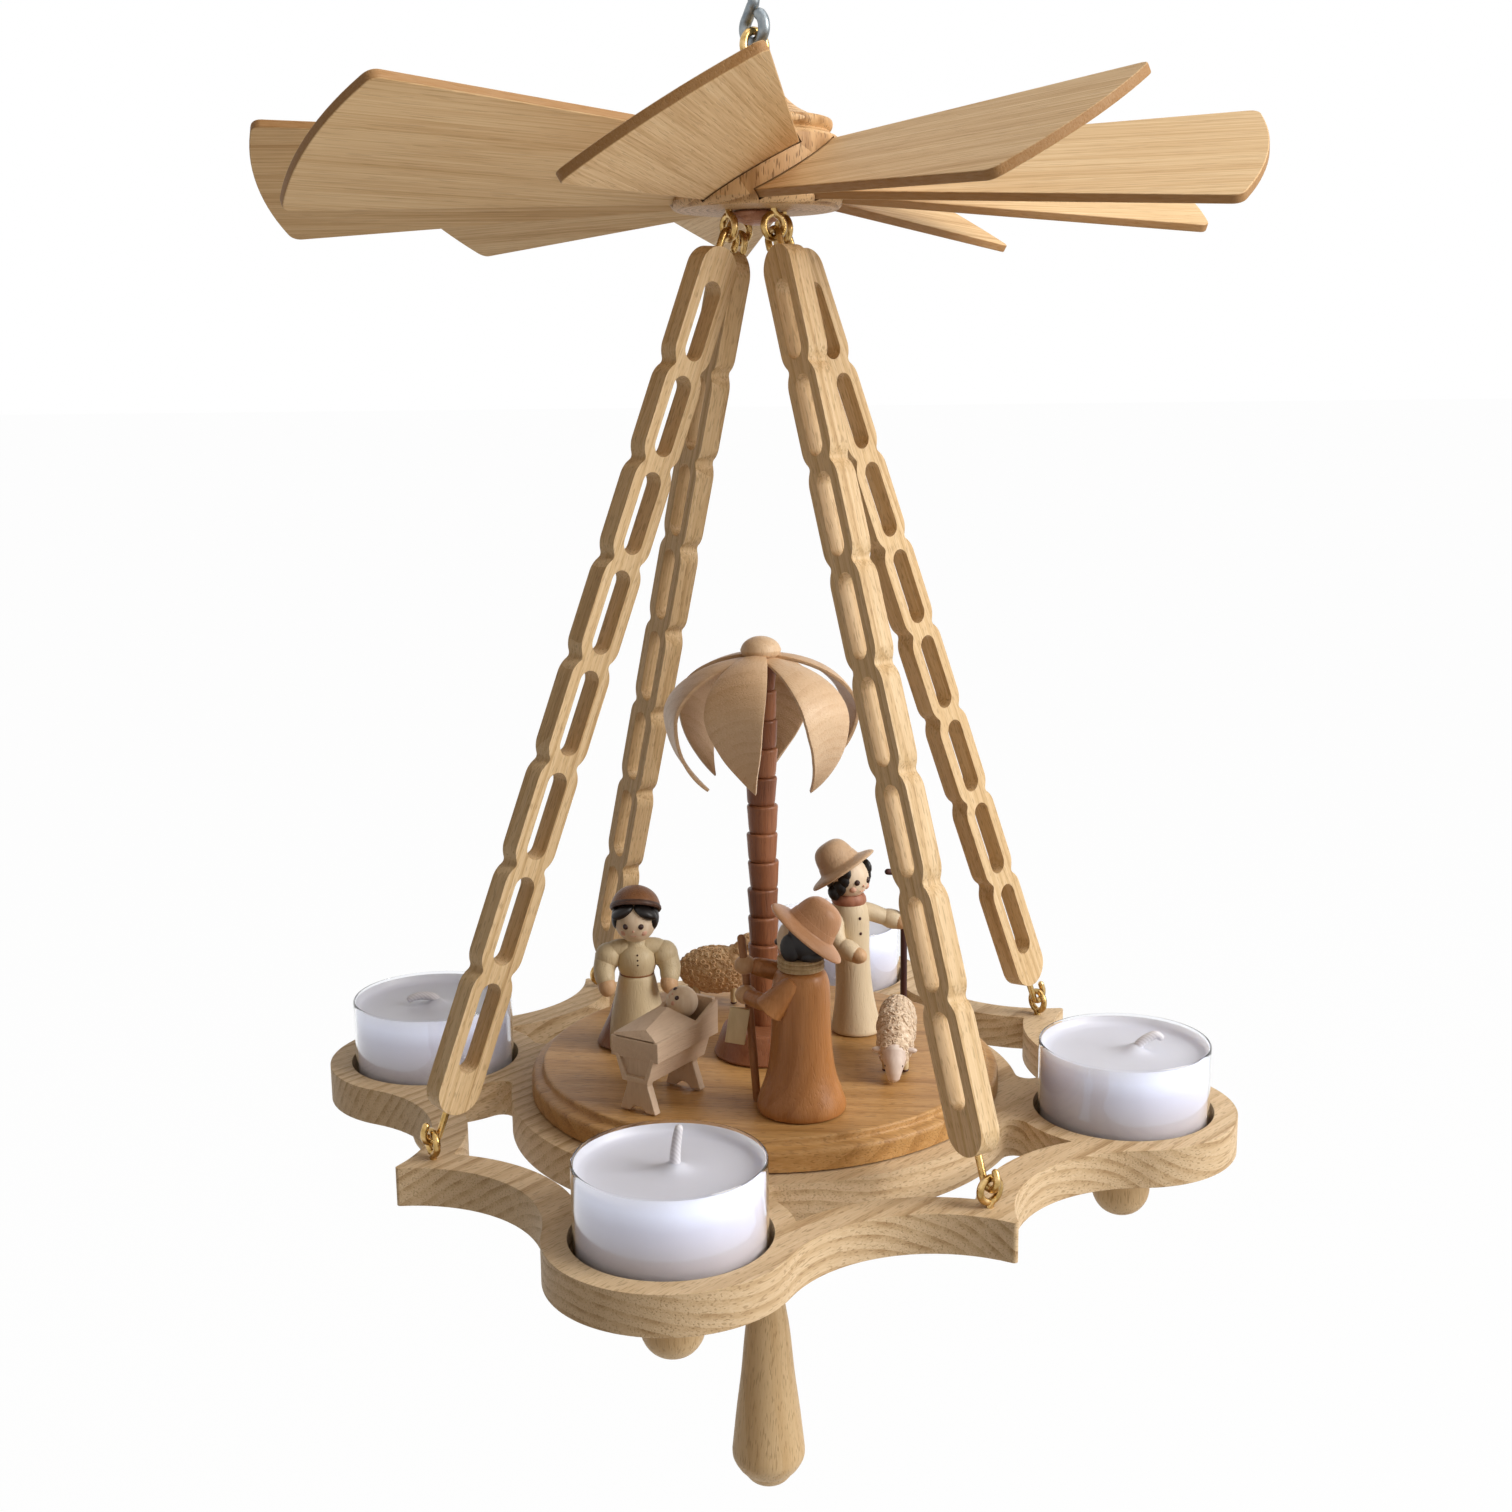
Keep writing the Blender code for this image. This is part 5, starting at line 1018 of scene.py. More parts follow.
platformEdge = ((51.4, 6.8), (52.0, 6.70), (52.3, 6.35), (52.4, 5.7), (52.6, 5.2), (53.2, 4.95),
                (54.1, 4.8), (54.75, 4.4), (55.0, 3.6), (55.0, 3.6), (55.0, 0.5), (54.9, 0.15), (54.5, 0.0))


def buildPlatform(body):
    rim = profile(platformEdge, plateTop + 0.0003)
    addLathe(body, [(0.0, rim[0][1])] + rim + [(0.0, rim[-1][1])], 160)


finishPiece(meshObject("platformDisc", buildPlatform), [platformOak], "gondola", ["platform"], 40,
            True,
            timber((0.0, 0.012, plateTop - 0.035), -7, 2.0))

finialLine = ((3.0, 5.0), (3.0, 5.0), (3.0, 0.0), (3.0, 0.0), (7.6, 0.0), (7.6, 0.0), (8.3, -0.9), (8.6, -2.0),
              (8.1, -4.3), (5.6, -7.3), (4.0, -12.1), (3.6, -22.2), (3.6, -34.8), (4.0, -45.5), (5.5, -55.7),
              (6.6, -67.0), (7.8, -76.4), (8.85, -86.0), (9.0, -87.8), (8.75, -89.6), (7.4, -92.0), (6.1, -93.3),
              (6.1, -93.3), (5.8, -93.9), (4.6, -95.3), (2.6, -96.4), (0.0, -96.7))
knobLine = ((1.6, 1.8), (1.6, 1.8), (1.6, 0.0), (1.6, 0.0), (4.6, 0.0), (4.6, 0.0), (4.35, -2.0), (4.9, -4.4),
            (6.1, -7.4), (6.6, -10.2), (6.15, -13.0), (4.6, -15.4), (2.4, -16.7), (0.0, -17.0))
dropTop = plateBase - 0.0003


def buildFinial(body):
    addLathe(body, [(0, dropTop + 0.005)] + profile(finialLine, dropTop, 4), 72)


def buildKnob(body):
    addLathe(body, [(0, 0.0018)] + profile(knobLine, 0.0), 40)


finishPiece(meshObject("turnedFinial", buildFinial), [finialAsh], "gondola", ["finial"],
            weighted=True,
            grain=timber((0.011, 0.004, dropTop), 20, 86))

knobs = meshObject("lobeKnobs", buildKnob)
shadeSmooth(knobs, weighted=True)
storeGrain(knobs, timber((0.006, 0.003, 0), 0, 90))
growNodes(knobs, circleTree, {
    "Count": 4, "First Turn": candleTurn, "Radius": plateSizes["candleCircle"], "Height": dropTop,
    "Pitch": 0.0, "Sink": 0.0, "Seed": 5, "Material": finialAsh})
fit(knobs, [finialAsh], "gondola", [f"lobe_knob_{index}" for index in range(1, 5)])
print("plate, platform, finial and knobs made")


# Tealights

tealightSizes = {"radius": 0.01925, "height": 0.0214, "wall": 0.0004, "wax": 0.01870, "waxBelow": 0.0027,
                 "wick": 0.00105}
wickPaths = (
    ((0.0010, 0, 0.0), (0.0011, 0, 0.0030), (0.0014, 0, 0.0058), (0.0019, 0, 0.0085)),
    ((0.0026, 0, 0.0), (0.0034, 0, 0.0018), (0.0052, 0, 0.0032), (0.0070, 0, 0.0039), (0.0080, 0, 0.0034)),
    ((0, 0, 0.0), (-0.0002, 0, 0.0030), (-0.0006, 0, 0.0055), (-0.0010, 0, 0.0078)),
    ((0.0010, 0, 0.0), (0.0006, 0, 0.0016), (-0.0010, 0, 0.0024), (-0.0036, 0, 0.0024), (-0.0056, 0, 0.0017)))


def buildCup(place):
    s = tealightSizes
    r, h, w = s["radius"], s["height"], s["wall"]
    outside = [(r - 0.0003, h), (r, h - 0.0003), (r, h - 0.0010), (r, 0.0022), (r - 0.0003, 0.0011),
               (r - 0.0010, 0.0004),
               (r - 0.0020, 0.0), (r - 0.0035, 0.0), (r - 0.0045, 0.0003), (0, 0.0003)]
    inside = [(0, w + 0.0003), (r - 0.0042, w + 0.0003), (r - 0.0032, w), (r - 0.0021, w + 0.0001),
              (r - 0.0012, w + 0.0006), (r - w - 0.0001, 0.0020), (r - w, 0.0028), (r - w, h - 0.0003)]
    return lambda body: addLathe(body, inside + outside, 96, place)


# The wax rises to the wick, which may stand off the middle, and a thin film of it climbs the wall
def buildWax(place, wickX):
    s = tealightSizes
    top = s["height"] - s["waxBelow"]
    cone = [(0, top + 0.0019), (0.0007, top + 0.0019), (0.0010, top + 0.0018), (0.0018, top + 0.0012),
            (0.0030, top + 0.00055), (0.0045, top + 0.00015), (0.0070, top - 0.00005), (0.0120, top - 0.0001),
            (0.0162, top), (0.0177, top + 0.0003), (0.01830, top + 0.0010), (0.01855, top + 0.0020),
            (s["wax"], top + 0.0021),
            (s["wax"], 0.0030), (s["wax"] - 0.0004, 0.0018), (s["wax"] - 0.0013, 0.0012), (0, 0.0012)]

    def build(body):
        addLathe(body, cone, 80)
        for vert in body.verts:
            vert.co.x += wickX * max(0.0, 1 - math.hypot(vert.co.x, vert.co.y) / 0.012)
        body.transform(place)
    return build


for index in range(4):
    spot = Matrix.Translation(polar(plateSizes["candleCircle"], candleTurn + quarter * index, cupBase))
    finishPiece(meshObject(f"tealightCup{index + 1}", buildCup(spot)), [clearCup], f"tealight_{index + 1}",
                [f"candle_cup_{index + 1}"], 60, True)

    top = tealightSizes["height"] - tealightSizes["waxBelow"]

    def buildCandle(body):
        buildWax(spot, wickPaths[index][0][0])(body)
        path = smoothLine([(x, y, top + z) for x, y, z in wickPaths[index]], 4)
        radii = [tealightSizes["wick"] * (1.15 - 0.35 * step / len(path)) for step in range(len(path))]
        addTube(body, path, radii, 12, spot, 1)

    finishPiece(meshObject(f"tealightWax{index + 1}", buildCandle), [paraffin, cotton], f"tealight_{index + 1}",
                [f"candle_wax_{index + 1}"], 60, True)
print("tealights made")


# Palm

palmSizes = {"footHeight": 0.0066, "trunk": 0.0036, "rings": 13, "height": 0.0930,
             "shift": 0.00012, "leaves": 6, "leafThick": 0.0008,
             "reach": 0.0212, "shoulder": 0.0125, "drop": 0.0215, "halfWidth": 0.0068, "bend": 1.42,
             "slant": 0.11, "cup": 0.12, "firstLeaf": math.radians(-108)}
leafWidths = (      # a leaf's width at each share of its length
    (0.30, 0.06), (0.62, 0.20), (0.92, 0.40), (1.00, 0.60), (0.90, 0.76), (0.60, 0.90), (0.38, 1.00))
trunkTop = figureBase + palmSizes["height"]
footTop = figureBase + palmSizes["footHeight"]
ringStep = (trunkTop - footTop) / palmSizes["rings"]


def buildRing(body):
    outline = [(0.0, 0.0), (0.80, 0.0), (0.80, 0.0), (0.96, -0.02), (1.0, -0.07), (1.0, -0.12), (0.965, -0.35),
               (0.925, -0.70), (0.885, -0.92), (0.80, -1.0), (0.80, -1.0), (0.0, -1.0)]
    line = [outline[0]] + smoothLine(outline[1:-1], 2) + [outline[-1]]
    addLathe(body, [(r * palmSizes["trunk"], z * ringStep) for r, z in line], 32)


trunk = meshObject("palmTrunk", buildRing)
shadeSmooth(trunk)
storeGrain(trunk, timber((0.001, 0.0005, 0), 0, 90))
growNodes(trunk, stackTree, {"Count": palmSizes["rings"], "Step": ringStep, "Top": trunkTop,
                             "Shift": palmSizes["shift"],
                             "Seed": 4, "Material": palmStain})
fit(trunk, [palmStain], "gondola", ["palm_trunk"])


def buildFoot(body):
    outline = [(3.2, 6.8), (3.2, 6.8), (8.6, 6.8), (9.3, 6.6), (9.8, 6.1), (10.6, 4.0), (11.6, 1.0), (11.9, 0.4),
               (11.8, 0.0), (11.8, 0.0), (1.8, 0.0), (1.8, 0.0), (1.8, -4.0)]
    line = profile(outline, figureBase)
    addLathe(body, [(0, line[0][1])] + line + [(0, line[-1][1])], 64)


finishPiece(meshObject("palmFoot", buildFoot), [palmStain], "gondola", ["palm_trunk"], weighted=True,
            grain=timber((0.004, 0.002, 0), 0, 90), tone=0.4)


# One leaf, drooping from the crown, with its tip cut on the slant and a crease down the middle
def buildLeaf(body):
    s = palmSizes
    rows = []
    line = smoothLine([(a, w, 0) for w, a in leafWidths], 5)
    for along, width, _ in line:
        row = []
        for step in range(-4, 5):
            side = step / 4
            slant = s["slant"] * side * max(0.0, along - 0.6) / 0.4
            bend = quarter * s["bend"] * (along + slant)
            out = s["reach"] * math.sin(bend)
            up = (s["shoulder"] if bend < quarter else s["drop"]) * math.cos(bend) - s["shoulder"]
            across = side * width * s["halfWidth"]
            row.append(body.verts.new((out, across, up - abs(across) * s["cup"] * (0.5 + abs(side)))))
        rows.append(row)
    for one, two in zip(rows, rows[1:]):
        for left in range(8):
            body.faces.new((one[left], two[left], two[left + 1], one[left + 1]))


leaves = meshObject("palmLeaves", buildLeaf)
shell = leaves.modifiers.new("thickness", "SOLIDIFY")
shell.thickness = palmSizes["leafThick"]
shell.offset = 0.0
applyModifiers(leaves)
roundEdges(leaves, 0.00022)
shadeSmooth(leaves, 55)
storeGrain(leaves, timber((0, 0.008, -0.030)))
growNodes(leaves, circleTree, {
    "Count": palmSizes["leaves"], "First Turn": palmSizes["firstLeaf"], "Radius": 0.0,
    "Height": trunkTop + 0.0003 + 2 * palmSizes["leafThick"], "Pitch": 0.0, "Sink": palmSizes["leafThick"],
    "Seed": 11,
    "Material": leafVeneer})
fit(leaves, [leafVeneer], "gondola", ["palm_crown"])


def buildCap(body):
    outline = [(0.0, 5.6), (1.4, 5.45), (2.9, 4.85), (4.0, 3.9), (4.6, 2.7), (4.6, 2.2), (4.2, 1.4), (3.4, 0.9),
               (3.4, 0.9), (2.6, 0.0), (0.0, 0.0)]
    addLathe(body, profile(outline, trunkTop + 0.0003), 48)


finishPiece(meshObject("palmCap", buildCap), [leafVeneer], "gondola", ["palm_crown"], weighted=True,
            grain=timber((0.003, 0.001, 0), 0, 90), tone=0.2)
print("palm made")


# Figures: turned bodies with glued arms, heads and hats. Shares are of the figure's height.

def figureFrame(x, y, turn):
    return (Matrix.Translation((x * platformRadius, y * platformRadius, figureBase))
            @ Matrix.Rotation(math.radians(turn), 4, "Z"))


def finishFigure(name, build, looks, place, nodes):
    finishPiece(meshObject(name, build), looks, "gondola", nodes, 42,
                grain=place @ timber((0.003, 0.002, 0), 0, 90))


# A lathe, a bar and a ball that take shares of the height h, in the figure's own frame
def figureTools(body, place, h):
    def lathe(points, look=0, steps=40, turn=Matrix(), smooth=3):
        line = smoothLine(points, smooth) if smooth else points
        addLathe(body, [(max(r, 0.0) * h, z * h) for r, z in line], steps, place @ turn, look)

    def tube(points, radii, look=0, steps=14, flat=1.0, smooth=5):
        line = smoothLine(points, smooth)
        if isinstance(radii, tuple):
            many = [radii[0] + (radii[1] - radii[0]) * step / (len(line) - 1) for step in range(len(line))]
        else:
            many = [radii] * len(line)
        addTube(body, [Vector(p) * h for p in line], [r * h for r in many], steps, place, look, flat)

    def ball(centre, radii, look=0, steps=20, turn=Matrix()):
        size = tuple(r * h for r in radii) if isinstance(radii, tuple) else (radii * h,) * 3
        addBall(body, (0, 0, 0), size, place @ Matrix.Translation(Vector(centre) * h) @ turn, look, steps)

    return lathe, tube, ball


# Two dots for eyes, a small nose, rosy cheeks and a short calm mouth
def addFace(ball, tube, middle, radius, eye, cheek, mouth):
    x, z = middle

    def onFace(side, up, sink=0.0):
        turn = math.radians(side)
        return (x + (radius - sink) * math.cos(turn) * math.cos(up),
                (radius - sink) * math.sin(turn) * math.cos(up),
                z + (radius - sink) * math.sin(up))

    for side in (-1, 1):
        ball(onFace(side * 22, 0.02, radius * 0.05), radius * 0.15, eye, 14)
        ball(onFace(side * 34, -0.36, radius * 0.155), radius * 0.20, cheek, 14)
    ball(onFace(0, -0.20, radius * 0.01), radius * 0.065, mouth, 10)
    tube([onFace(side, -0.48, radius * 0.02) for side in (-8, 0, 8)], radius * 0.030, mouth, 8, 1.0, 3)


womanPlace = figureFrame(-0.548, 0.100, -84)


def buildWoman(body):
    h = 0.0398
    lathe, tube, ball = figureTools(body, womanPlace, h)
    # body: skirt and bodice, with a thin chestnut ring at the waist that is painted shade of the crease between
    # them
    lathe([(0.0, 0.680), (0.050, 0.675), (0.060, 0.655), (0.070, 0.632), (0.098, 0.605), (0.116, 0.575),
           (0.121, 0.530), (0.112, 0.485), (0.102, 0.457), (0.100, 0.448), (0.100, 0.448), (0.104, 0.440),
           (0.110, 0.425), (0.130, 0.330), (0.156, 0.200), (0.178, 0.085), (0.189, 0.025), (0.189, 0.006),
           (0.186, 0.0), (0.186, 0.0), (0.0, 0.0)], 0, 56)
    # a thin chestnut ring round the waist: painted shade in the crease where the bodice meets the skirt
    lathe([(0.102, 0.458), (0.105, 0.455), (0.105, 0.450), (0.102, 0.447), (0.095, 0.447), (0.095, 0.458)], 4, 48,
          smooth=0)
    # three small buttons down the bodice
    for z, x in ((0.590, 0.110), (0.560, 0.117), (0.532, 0.119)):
        ball((x, 0, z), 0.0062, 3, 10)
    # puffed sleeves, forearms and egg-shaped hands
    for side in (-1, 1):
        tube([(0.0, side * 0.060, 0.605), (0.0, side * 0.120, 0.600), (0.004, side * 0.160, 0.572)], 0.060, 0)
        ball((0.006, side * 0.168, 0.560), (0.082, 0.080, 0.084), 0, 24)
        tube([(0.010, side * 0.180, 0.540), (0.045, side * 0.196, 0.490), (0.088, side * 0.192, 0.448)],
             (0.072, 0.058), 0)
        ball((0.112, side * 0.184, 0.412), (0.050, 0.053, 0.066), 6, 20, Matrix.Rotation(-0.5, 4, "Y"))
    # the cloak behind shows beside the skirt
    behind = (Matrix.Translation((-0.0026, 0.0024, 0)) @ Matrix.Translation(womanPlace.translation)
              @ Matrix(((1, 0, 0.105, 0), (0, 1, -0.097, 0), (0, 0, 1, 0), (0, 0, 0, 1))))
    addLathe(body, [(r * h, z * h) for r, z in (
        (0.0, 0.640), (0.060, 0.630), (0.080, 0.580), (0.084, 0.480), (0.094, 0.340), (0.126, 0.180),
        (0.180, 0.030), (0.186, 0.008), (0.180, 0.002), (0.0, 0.002))], 48, behind, 7)
    # head turned a little to one side, hair in two wings from the middle, and a cap set back
    lathe, tube, ball = figureTools(body, womanPlace @ Matrix.Rotation(math.radians(-10), 4, "Z"), h)
    ball((0.012, 0, 0.775), (0.126, 0.124, 0.128), 1, 32)
    ball((-0.026, 0, 0.785), (0.126, 0.138, 0.122), 2, 32)
    for side in (-1, 1):
        ball((0.074, side * 0.066, 0.846), (0.062, 0.076, 0.036), 2, 24, Matrix.Rotation(side * -0.50, 4, "X"))
        ball((0.020, side * 0.112, 0.800), (0.062, 0.028, 0.070), 2, 18)
    back = tipped((-0.010, 0, 0.846), h, 180, 29)
    lathe([(0.0, 0.138), (0.045, 0.132), (0.088, 0.112), (0.122, 0.080), (0.142, 0.040), (0.149, 0.008),
           (0.149, 0.008), (0.142, 0.0), (0.0, -0.004)], 4, 48, back)
    lathe([(0.147, 0.022), (0.153, 0.012), (0.154, 0.000), (0.148, -0.010), (0.134, -0.010), (0.134, 0.022)], 3,
          48, back, 0)
    addFace(ball, tube, (0.012, 0.768), 0.124, 8, 5, 5)


finishFigure("womanFigure", buildWoman,
             [dressWood, skinPaint, hairPaint, brimPaint, chestnutWood, cheekPaint, handWood, chestnutWood,
              eyePaint],
             womanPlace, ["woman_figure"])

lanternManPlace = figureFrame(0.131, -0.655, 155)


def buildHat(lathe, turn, size, look, bandLook):
    line = ((0.0, 0.150), (0.030, 0.149), (0.060, 0.140), (0.082, 0.120), (0.095, 0.090), (0.103, 0.050),
            (0.109, 0.030), (0.120, 0.020), (0.145, 0.013), (0.165, 0.007), (0.179, -0.001), (0.184, -0.008),
            (0.181, -0.014), (0.172, -0.015), (0.140, -0.008), (0.110, -0.004), (0.110, -0.004), (0.0, -0.004))
    lathe([(r * size, z * size) for r, z in line], look, 48, turn)
    band = ((0.096, 0.056), (0.104, 0.054), (0.111, 0.029), (0.108, 0.025), (0.094, 0.025), (0.090, 0.056))
    lathe([(r * size, z * size) for r, z in band], bandLook, 48, turn, 0)


def buildLanternMan(body):
    h = 0.0480
    lathe, tube, ball = figureTools(body, lanternManPlace, h)
    # coat down to the board
    lathe([(0.0, 0.668), (0.070, 0.664), (0.100, 0.652), (0.118, 0.630), (0.129, 0.585), (0.132, 0.520),
           (0.133, 0.450), (0.136, 0.360), (0.141, 0.280), (0.154, 0.185), (0.176, 0.110), (0.196, 0.055),
           (0.203, 0.024), (0.202, 0.006), (0.199, 0.0), (0.199, 0.0), (0.0, 0.0)], 0, 56)
    # ribbed collar
    for step in range(3):
        z = 0.708 - 0.020 * step
        lathe([(0.090, z + 0.012), (0.102, z + 0.009), (0.107, z), (0.102, z - 0.009), (0.090, z - 0.012),
               (0.070, z - 0.012),
               (0.070, z + 0.012)], 9, 40, smooth=0)
    # head, hair and hat
    ball((0.002, 0, 0.790), (0.106, 0.104, 0.107), 1, 32)
    ball((-0.024, 0, 0.796), (0.106, 0.112, 0.110), 2, 32)
    ball((-0.050, 0, 0.745), (0.072, 0.096, 0.056), 2, 24)
    for side in (-1, 1):
        ball((0.012, side * 0.090, 0.776), (0.050, 0.026, 0.066), 2, 18)
    addFace(ball, tube, (0.002, 0.780), 0.106, 10, 6, 6)
    buildHat(lathe, tipped((-0.028, -0.012, 0.828), h, 207, 40), 1.09, 4, 7)
    # near arm: a short sleeve with a wide mouth, a slimmer forearm and an egg-shaped hand
    sleeve = lanternManPlace @ Matrix.Translation(Vector((-0.010, 0.096, 0.628)) * h) @ Vector(
        (0.62, 0.20, -0.76)).to_track_quat("Z", "Y").to_matrix().to_4x4()
    addLathe(body, [(r * h, z * h) for r, z in ((0.0, -0.004), (0.034, 0.004), (0.046, 0.030), (0.054, 0.080),
                                                (0.066, 0.150),
                                               (0.071, 0.176), (0.068, 0.180), (0.040, 0.168),
                                               (0.0, 0.160))][::-1], 32, sleeve, 0)
    tube([(0.060, 0.126, 0.535), (0.130, 0.104, 0.514), (0.218, 0.062, 0.512)], (0.044, 0.038), 0, 18)
    ball((0.258, 0.030, 0.512), (0.050, 0.052, 0.044), 8, 20)
    # far arm
    tube([(0.0, -0.070, 0.615), (0.060, -0.095, 0.595), (0.140, -0.065, 0.610), (0.225, -0.030, 0.630)],
         (0.052, 0.044), 0)
    ball((0.276, -0.006, 0.640), (0.050, 0.052, 0.044), 8, 20)
    # staff through both hands
    tube([(0.292, 0.0, 0.765), (0.262, 0.0, 0.512), (0.222, 0.0, 0.010)], 0.0190, 5, 12)
    # a plain cream tablet hangs from the near hand, its face to the front
    spot = (Matrix.Translation(lanternManPlace @ (Vector((0.282, 0.074, 0.376)) * h))
            @ Matrix.Rotation(math.radians(-4), 4, "Z") @ Matrix.Rotation(math.radians(9), 4, "Y"))
    addBlock(body, (0.0044, 0.0011, 0.0082), spot, 3, 0.0002)


finishFigure("lanternManFigure", buildLanternMan,
             [coatWood, skinPaint, hairPaint, creamPaint, hatMaple, oakStaff, cheekPaint, hatMaple, handWood,
              ribPaint,
              eyePaint],
             lanternManPlace, ["lantern_man_figure"])

shepherdPlace = figureFrame(0.415, 0.255, -62)

# The shepherd leans a little to one side, from the feet up
leaning = Matrix.Identity(4)
lean, leanTurn = math.tan(math.radians(3.2)), math.radians(242)
leaning[0][2], leaning[1][2] = lean * math.cos(leanTurn), lean * math.sin(leanTurn)


def buildShepherd(body):
    h = 0.0484
    lathe, tube, ball = figureTools(body, shepherdPlace @ leaning, h)
    # long narrow coat that widens at the hem
    lathe([(0.0, 0.690), (0.055, 0.688), (0.076, 0.672), (0.088, 0.645), (0.095, 0.610), (0.096, 0.560),
           (0.091, 0.470), (0.088, 0.380), (0.090, 0.260), (0.098, 0.170), (0.110, 0.095), (0.121, 0.040),
           (0.127, 0.015), (0.127, 0.005), (0.125, 0.0), (0.125, 0.0), (0.0, 0.0)], 0, 56)
    # scarf
    lathe([(0.060, 0.712), (0.076, 0.708), (0.086, 0.692), (0.088, 0.672), (0.082, 0.660), (0.060, 0.658)], 4, 40,
          smooth=0)
    # head, hair with locks at the sides, hat
    ball((0.002, 0, 0.795), (0.106, 0.104, 0.107), 1, 32)
    ball((-0.022, -0.006, 0.805), (0.104, 0.110, 0.108), 2, 32)
    for z, x in ((0.600, 0.094), (0.522, 0.093)):
        ball((x, 0, z), 0.0085, 5, 10)
    buildHat(lathe, tipped((-0.006, -0.024, 0.836), h, 224, 34), 1.0, 3, 3)
    # the face looks further round, with black locks beside it
    lathe, tube, ball = figureTools(body, shepherdPlace @ leaning @ Matrix.Rotation(math.radians(16), 4, "Z"), h)
    for side in (-1, 1):
        for x, z, r in ((0.052, 0.838, 0.040), (0.042, 0.800, 0.040), (0.020, 0.762, 0.042),
                        (-0.010, 0.728, 0.036)):
            ball((x, side * (0.092 - x * 0.30), z), (r, 0.024, r * 1.1), 2, 14)
    addFace(ball, tube, (0.002, 0.785), 0.106, 8, 6, 6)
    lathe, tube, ball = figureTools(body, shepherdPlace @ leaning, h)
    # arms with turned-up cuffs
    tube([(0.0, 0.050, 0.615), (0.030, 0.105, 0.602), (0.058, 0.160, 0.578), (0.078, 0.196, 0.566)],
         (0.050, 0.038), 0)
    tube([(0.0, -0.050, 0.610), (0.030, -0.105, 0.555), (0.070, -0.115, 0.492), (0.120, -0.090, 0.458)],
         (0.050, 0.038), 0)
    for one, two in (((0.070, 0.186, 0.569), (0.088, 0.210, 0.562)),
                     ((0.112, -0.094, 0.464), (0.138, -0.082, 0.450))):
        tube([one, two], 0.050, 0, 20, 1.0, 1)
    ball((0.104, 0.226, 0.556), (0.048, 0.042, 0.042), 7, 16)
    ball((0.164, -0.068, 0.440), (0.052, 0.042, 0.042), 7, 18, Matrix.Rotation(0.4, 4, "Z"))
    # staff with its short crook
    lathe, tube, ball = figureTools(body, shepherdPlace, h)
    crook = [(0.105, 0.214, 0.010), (0.105, 0.214, 0.400), (0.105, 0.210, 0.760), (0.105, 0.200, 0.795),
             (0.102, 0.172, 0.814), (0.094, 0.124, 0.822)]
    tube(crook, (0.0175, 0.0160), 5, 12)


finishFigure("shepherdFigure", buildShepherd,
             [coatLime, skinPaint, hairPaint, hatWood, rosePaint, staffStain, cheekPaint, handWood, eyePaint],
             shepherdPlace, ["shepherd_figure"])
print("people made")

mangerPlace = figureFrame(-0.416, -0.522, 56.5)
mangerSizes = {"height": 0.0175, "length": 0.0222, "board": 0.0013, "legs": 0.0020, "edge": 0.00022}
trough = ((-0.30, 0.74), (-0.19, 0.40), (0.19, 0.40), (0.30, 0.74), (0.24, 0.74), (0.14, 0.47), (-0.14, 0.47),
          (-0.24, 0.74))
waistedLegs = ((-0.27, 0.72), (-0.155, 0.355), (-0.27, 0.00), (-0.12, 0.00), (-0.05, 0.07), (0.05, 0.07),
               (0.12, 0.00), (0.27, 0.00), (0.155, 0.355), (0.27, 0.72))
raisedSide = ((-0.63, 0.70), (0.71, 0.70), (0.71, 1.15), (0.30, 0.98), (-0.63, 0.96))
mangerBoards = {     # outline, thickness, whether it stands across the trough, and its place
    "mangerTrough": (trough, "length", True, 0.0),
    "mangerFootLegs": (waistedLegs, "legs", True, -0.525),
    "mangerHeadLegs": (waistedLegs, "legs", True, 0.460),
    "mangerNearSide": (raisedSide, "board", False, 0.320),
    "mangerFarSide": (raisedSide, "board", False, -0.320),
    "mangerFootBoard": (((-0.32, 0.70), (0.32, 0.70), (0.32, 0.95), (-0.32, 0.95)), "board", True, -0.590),
    "mangerHeadBoard": (((-0.32, 0.70), (0.32, 0.70), (0.32, 1.18), (-0.32, 1.18)), "board", True, 0.675)}

# A trough with raised sides on two waisted leg boards. X runs along it.
for number, (name, (outline, thick, across, place)) in enumerate(mangerBoards.items()):
    s = mangerSizes
    upright = mangerPlace @ Matrix.Rotation(quarter if across else 0.0, 4, "Z") @ Matrix.Rotation(quarter, 4, "X")
    board = boardObject(name, [[(x * s["height"], z * s["height"]) for x, z in outline]], s[thick],
                        upright @ Matrix.Translation((0, 0, place * s["height"])))
    roundEdges(board, s["edge"])
    fibres = timber((0.03 * number, 0.012, -0.020), 0, 90 if thick == "legs" else 0)
    finishPiece(board, [paleWood], "gondola", ["manger"], 50, True, mangerPlace @ fibres,
                0.15 * number)

# The cover lies over the trough in flat facets: millimetres along, across and up
blanketCorners = ((-10.8, 5.8, 16.9), (-10.8, -5.6, 16.9), (5.2, -5.6, 16.9), (4.4, 5.8, 16.9), (-10.6, 5.7, 17.3),
                  (-10.6, -5.2, 17.2), (-9.6, -2.2, 18.9), (1.2, -0.4, 20.6), (4.6, -5.2, 17.4), (4.0, 4.0, 19.2))


def buildBlanket(body):
    for corner in blanketCorners:
        body.verts.new(mangerPlace @ (Vector(corner) / 1000))
    bmesh.ops.convex_hull(body, input=body.verts)
    bmesh.ops.dissolve_limit(body, angle_limit=0.02, verts=body.verts, edges=body.edges)
    bmesh.ops.recalc_face_normals(body, faces=body.faces)


blanket = meshObject("infantBlanket", buildBlanket)
roundEdges(blanket, 0.0005, 3)
finishPiece(blanket, [paleWood], "gondola", ["infant_figure"], 50, True,
            mangerPlace @ timber((0, 0.01, -0.01)), 0.3)


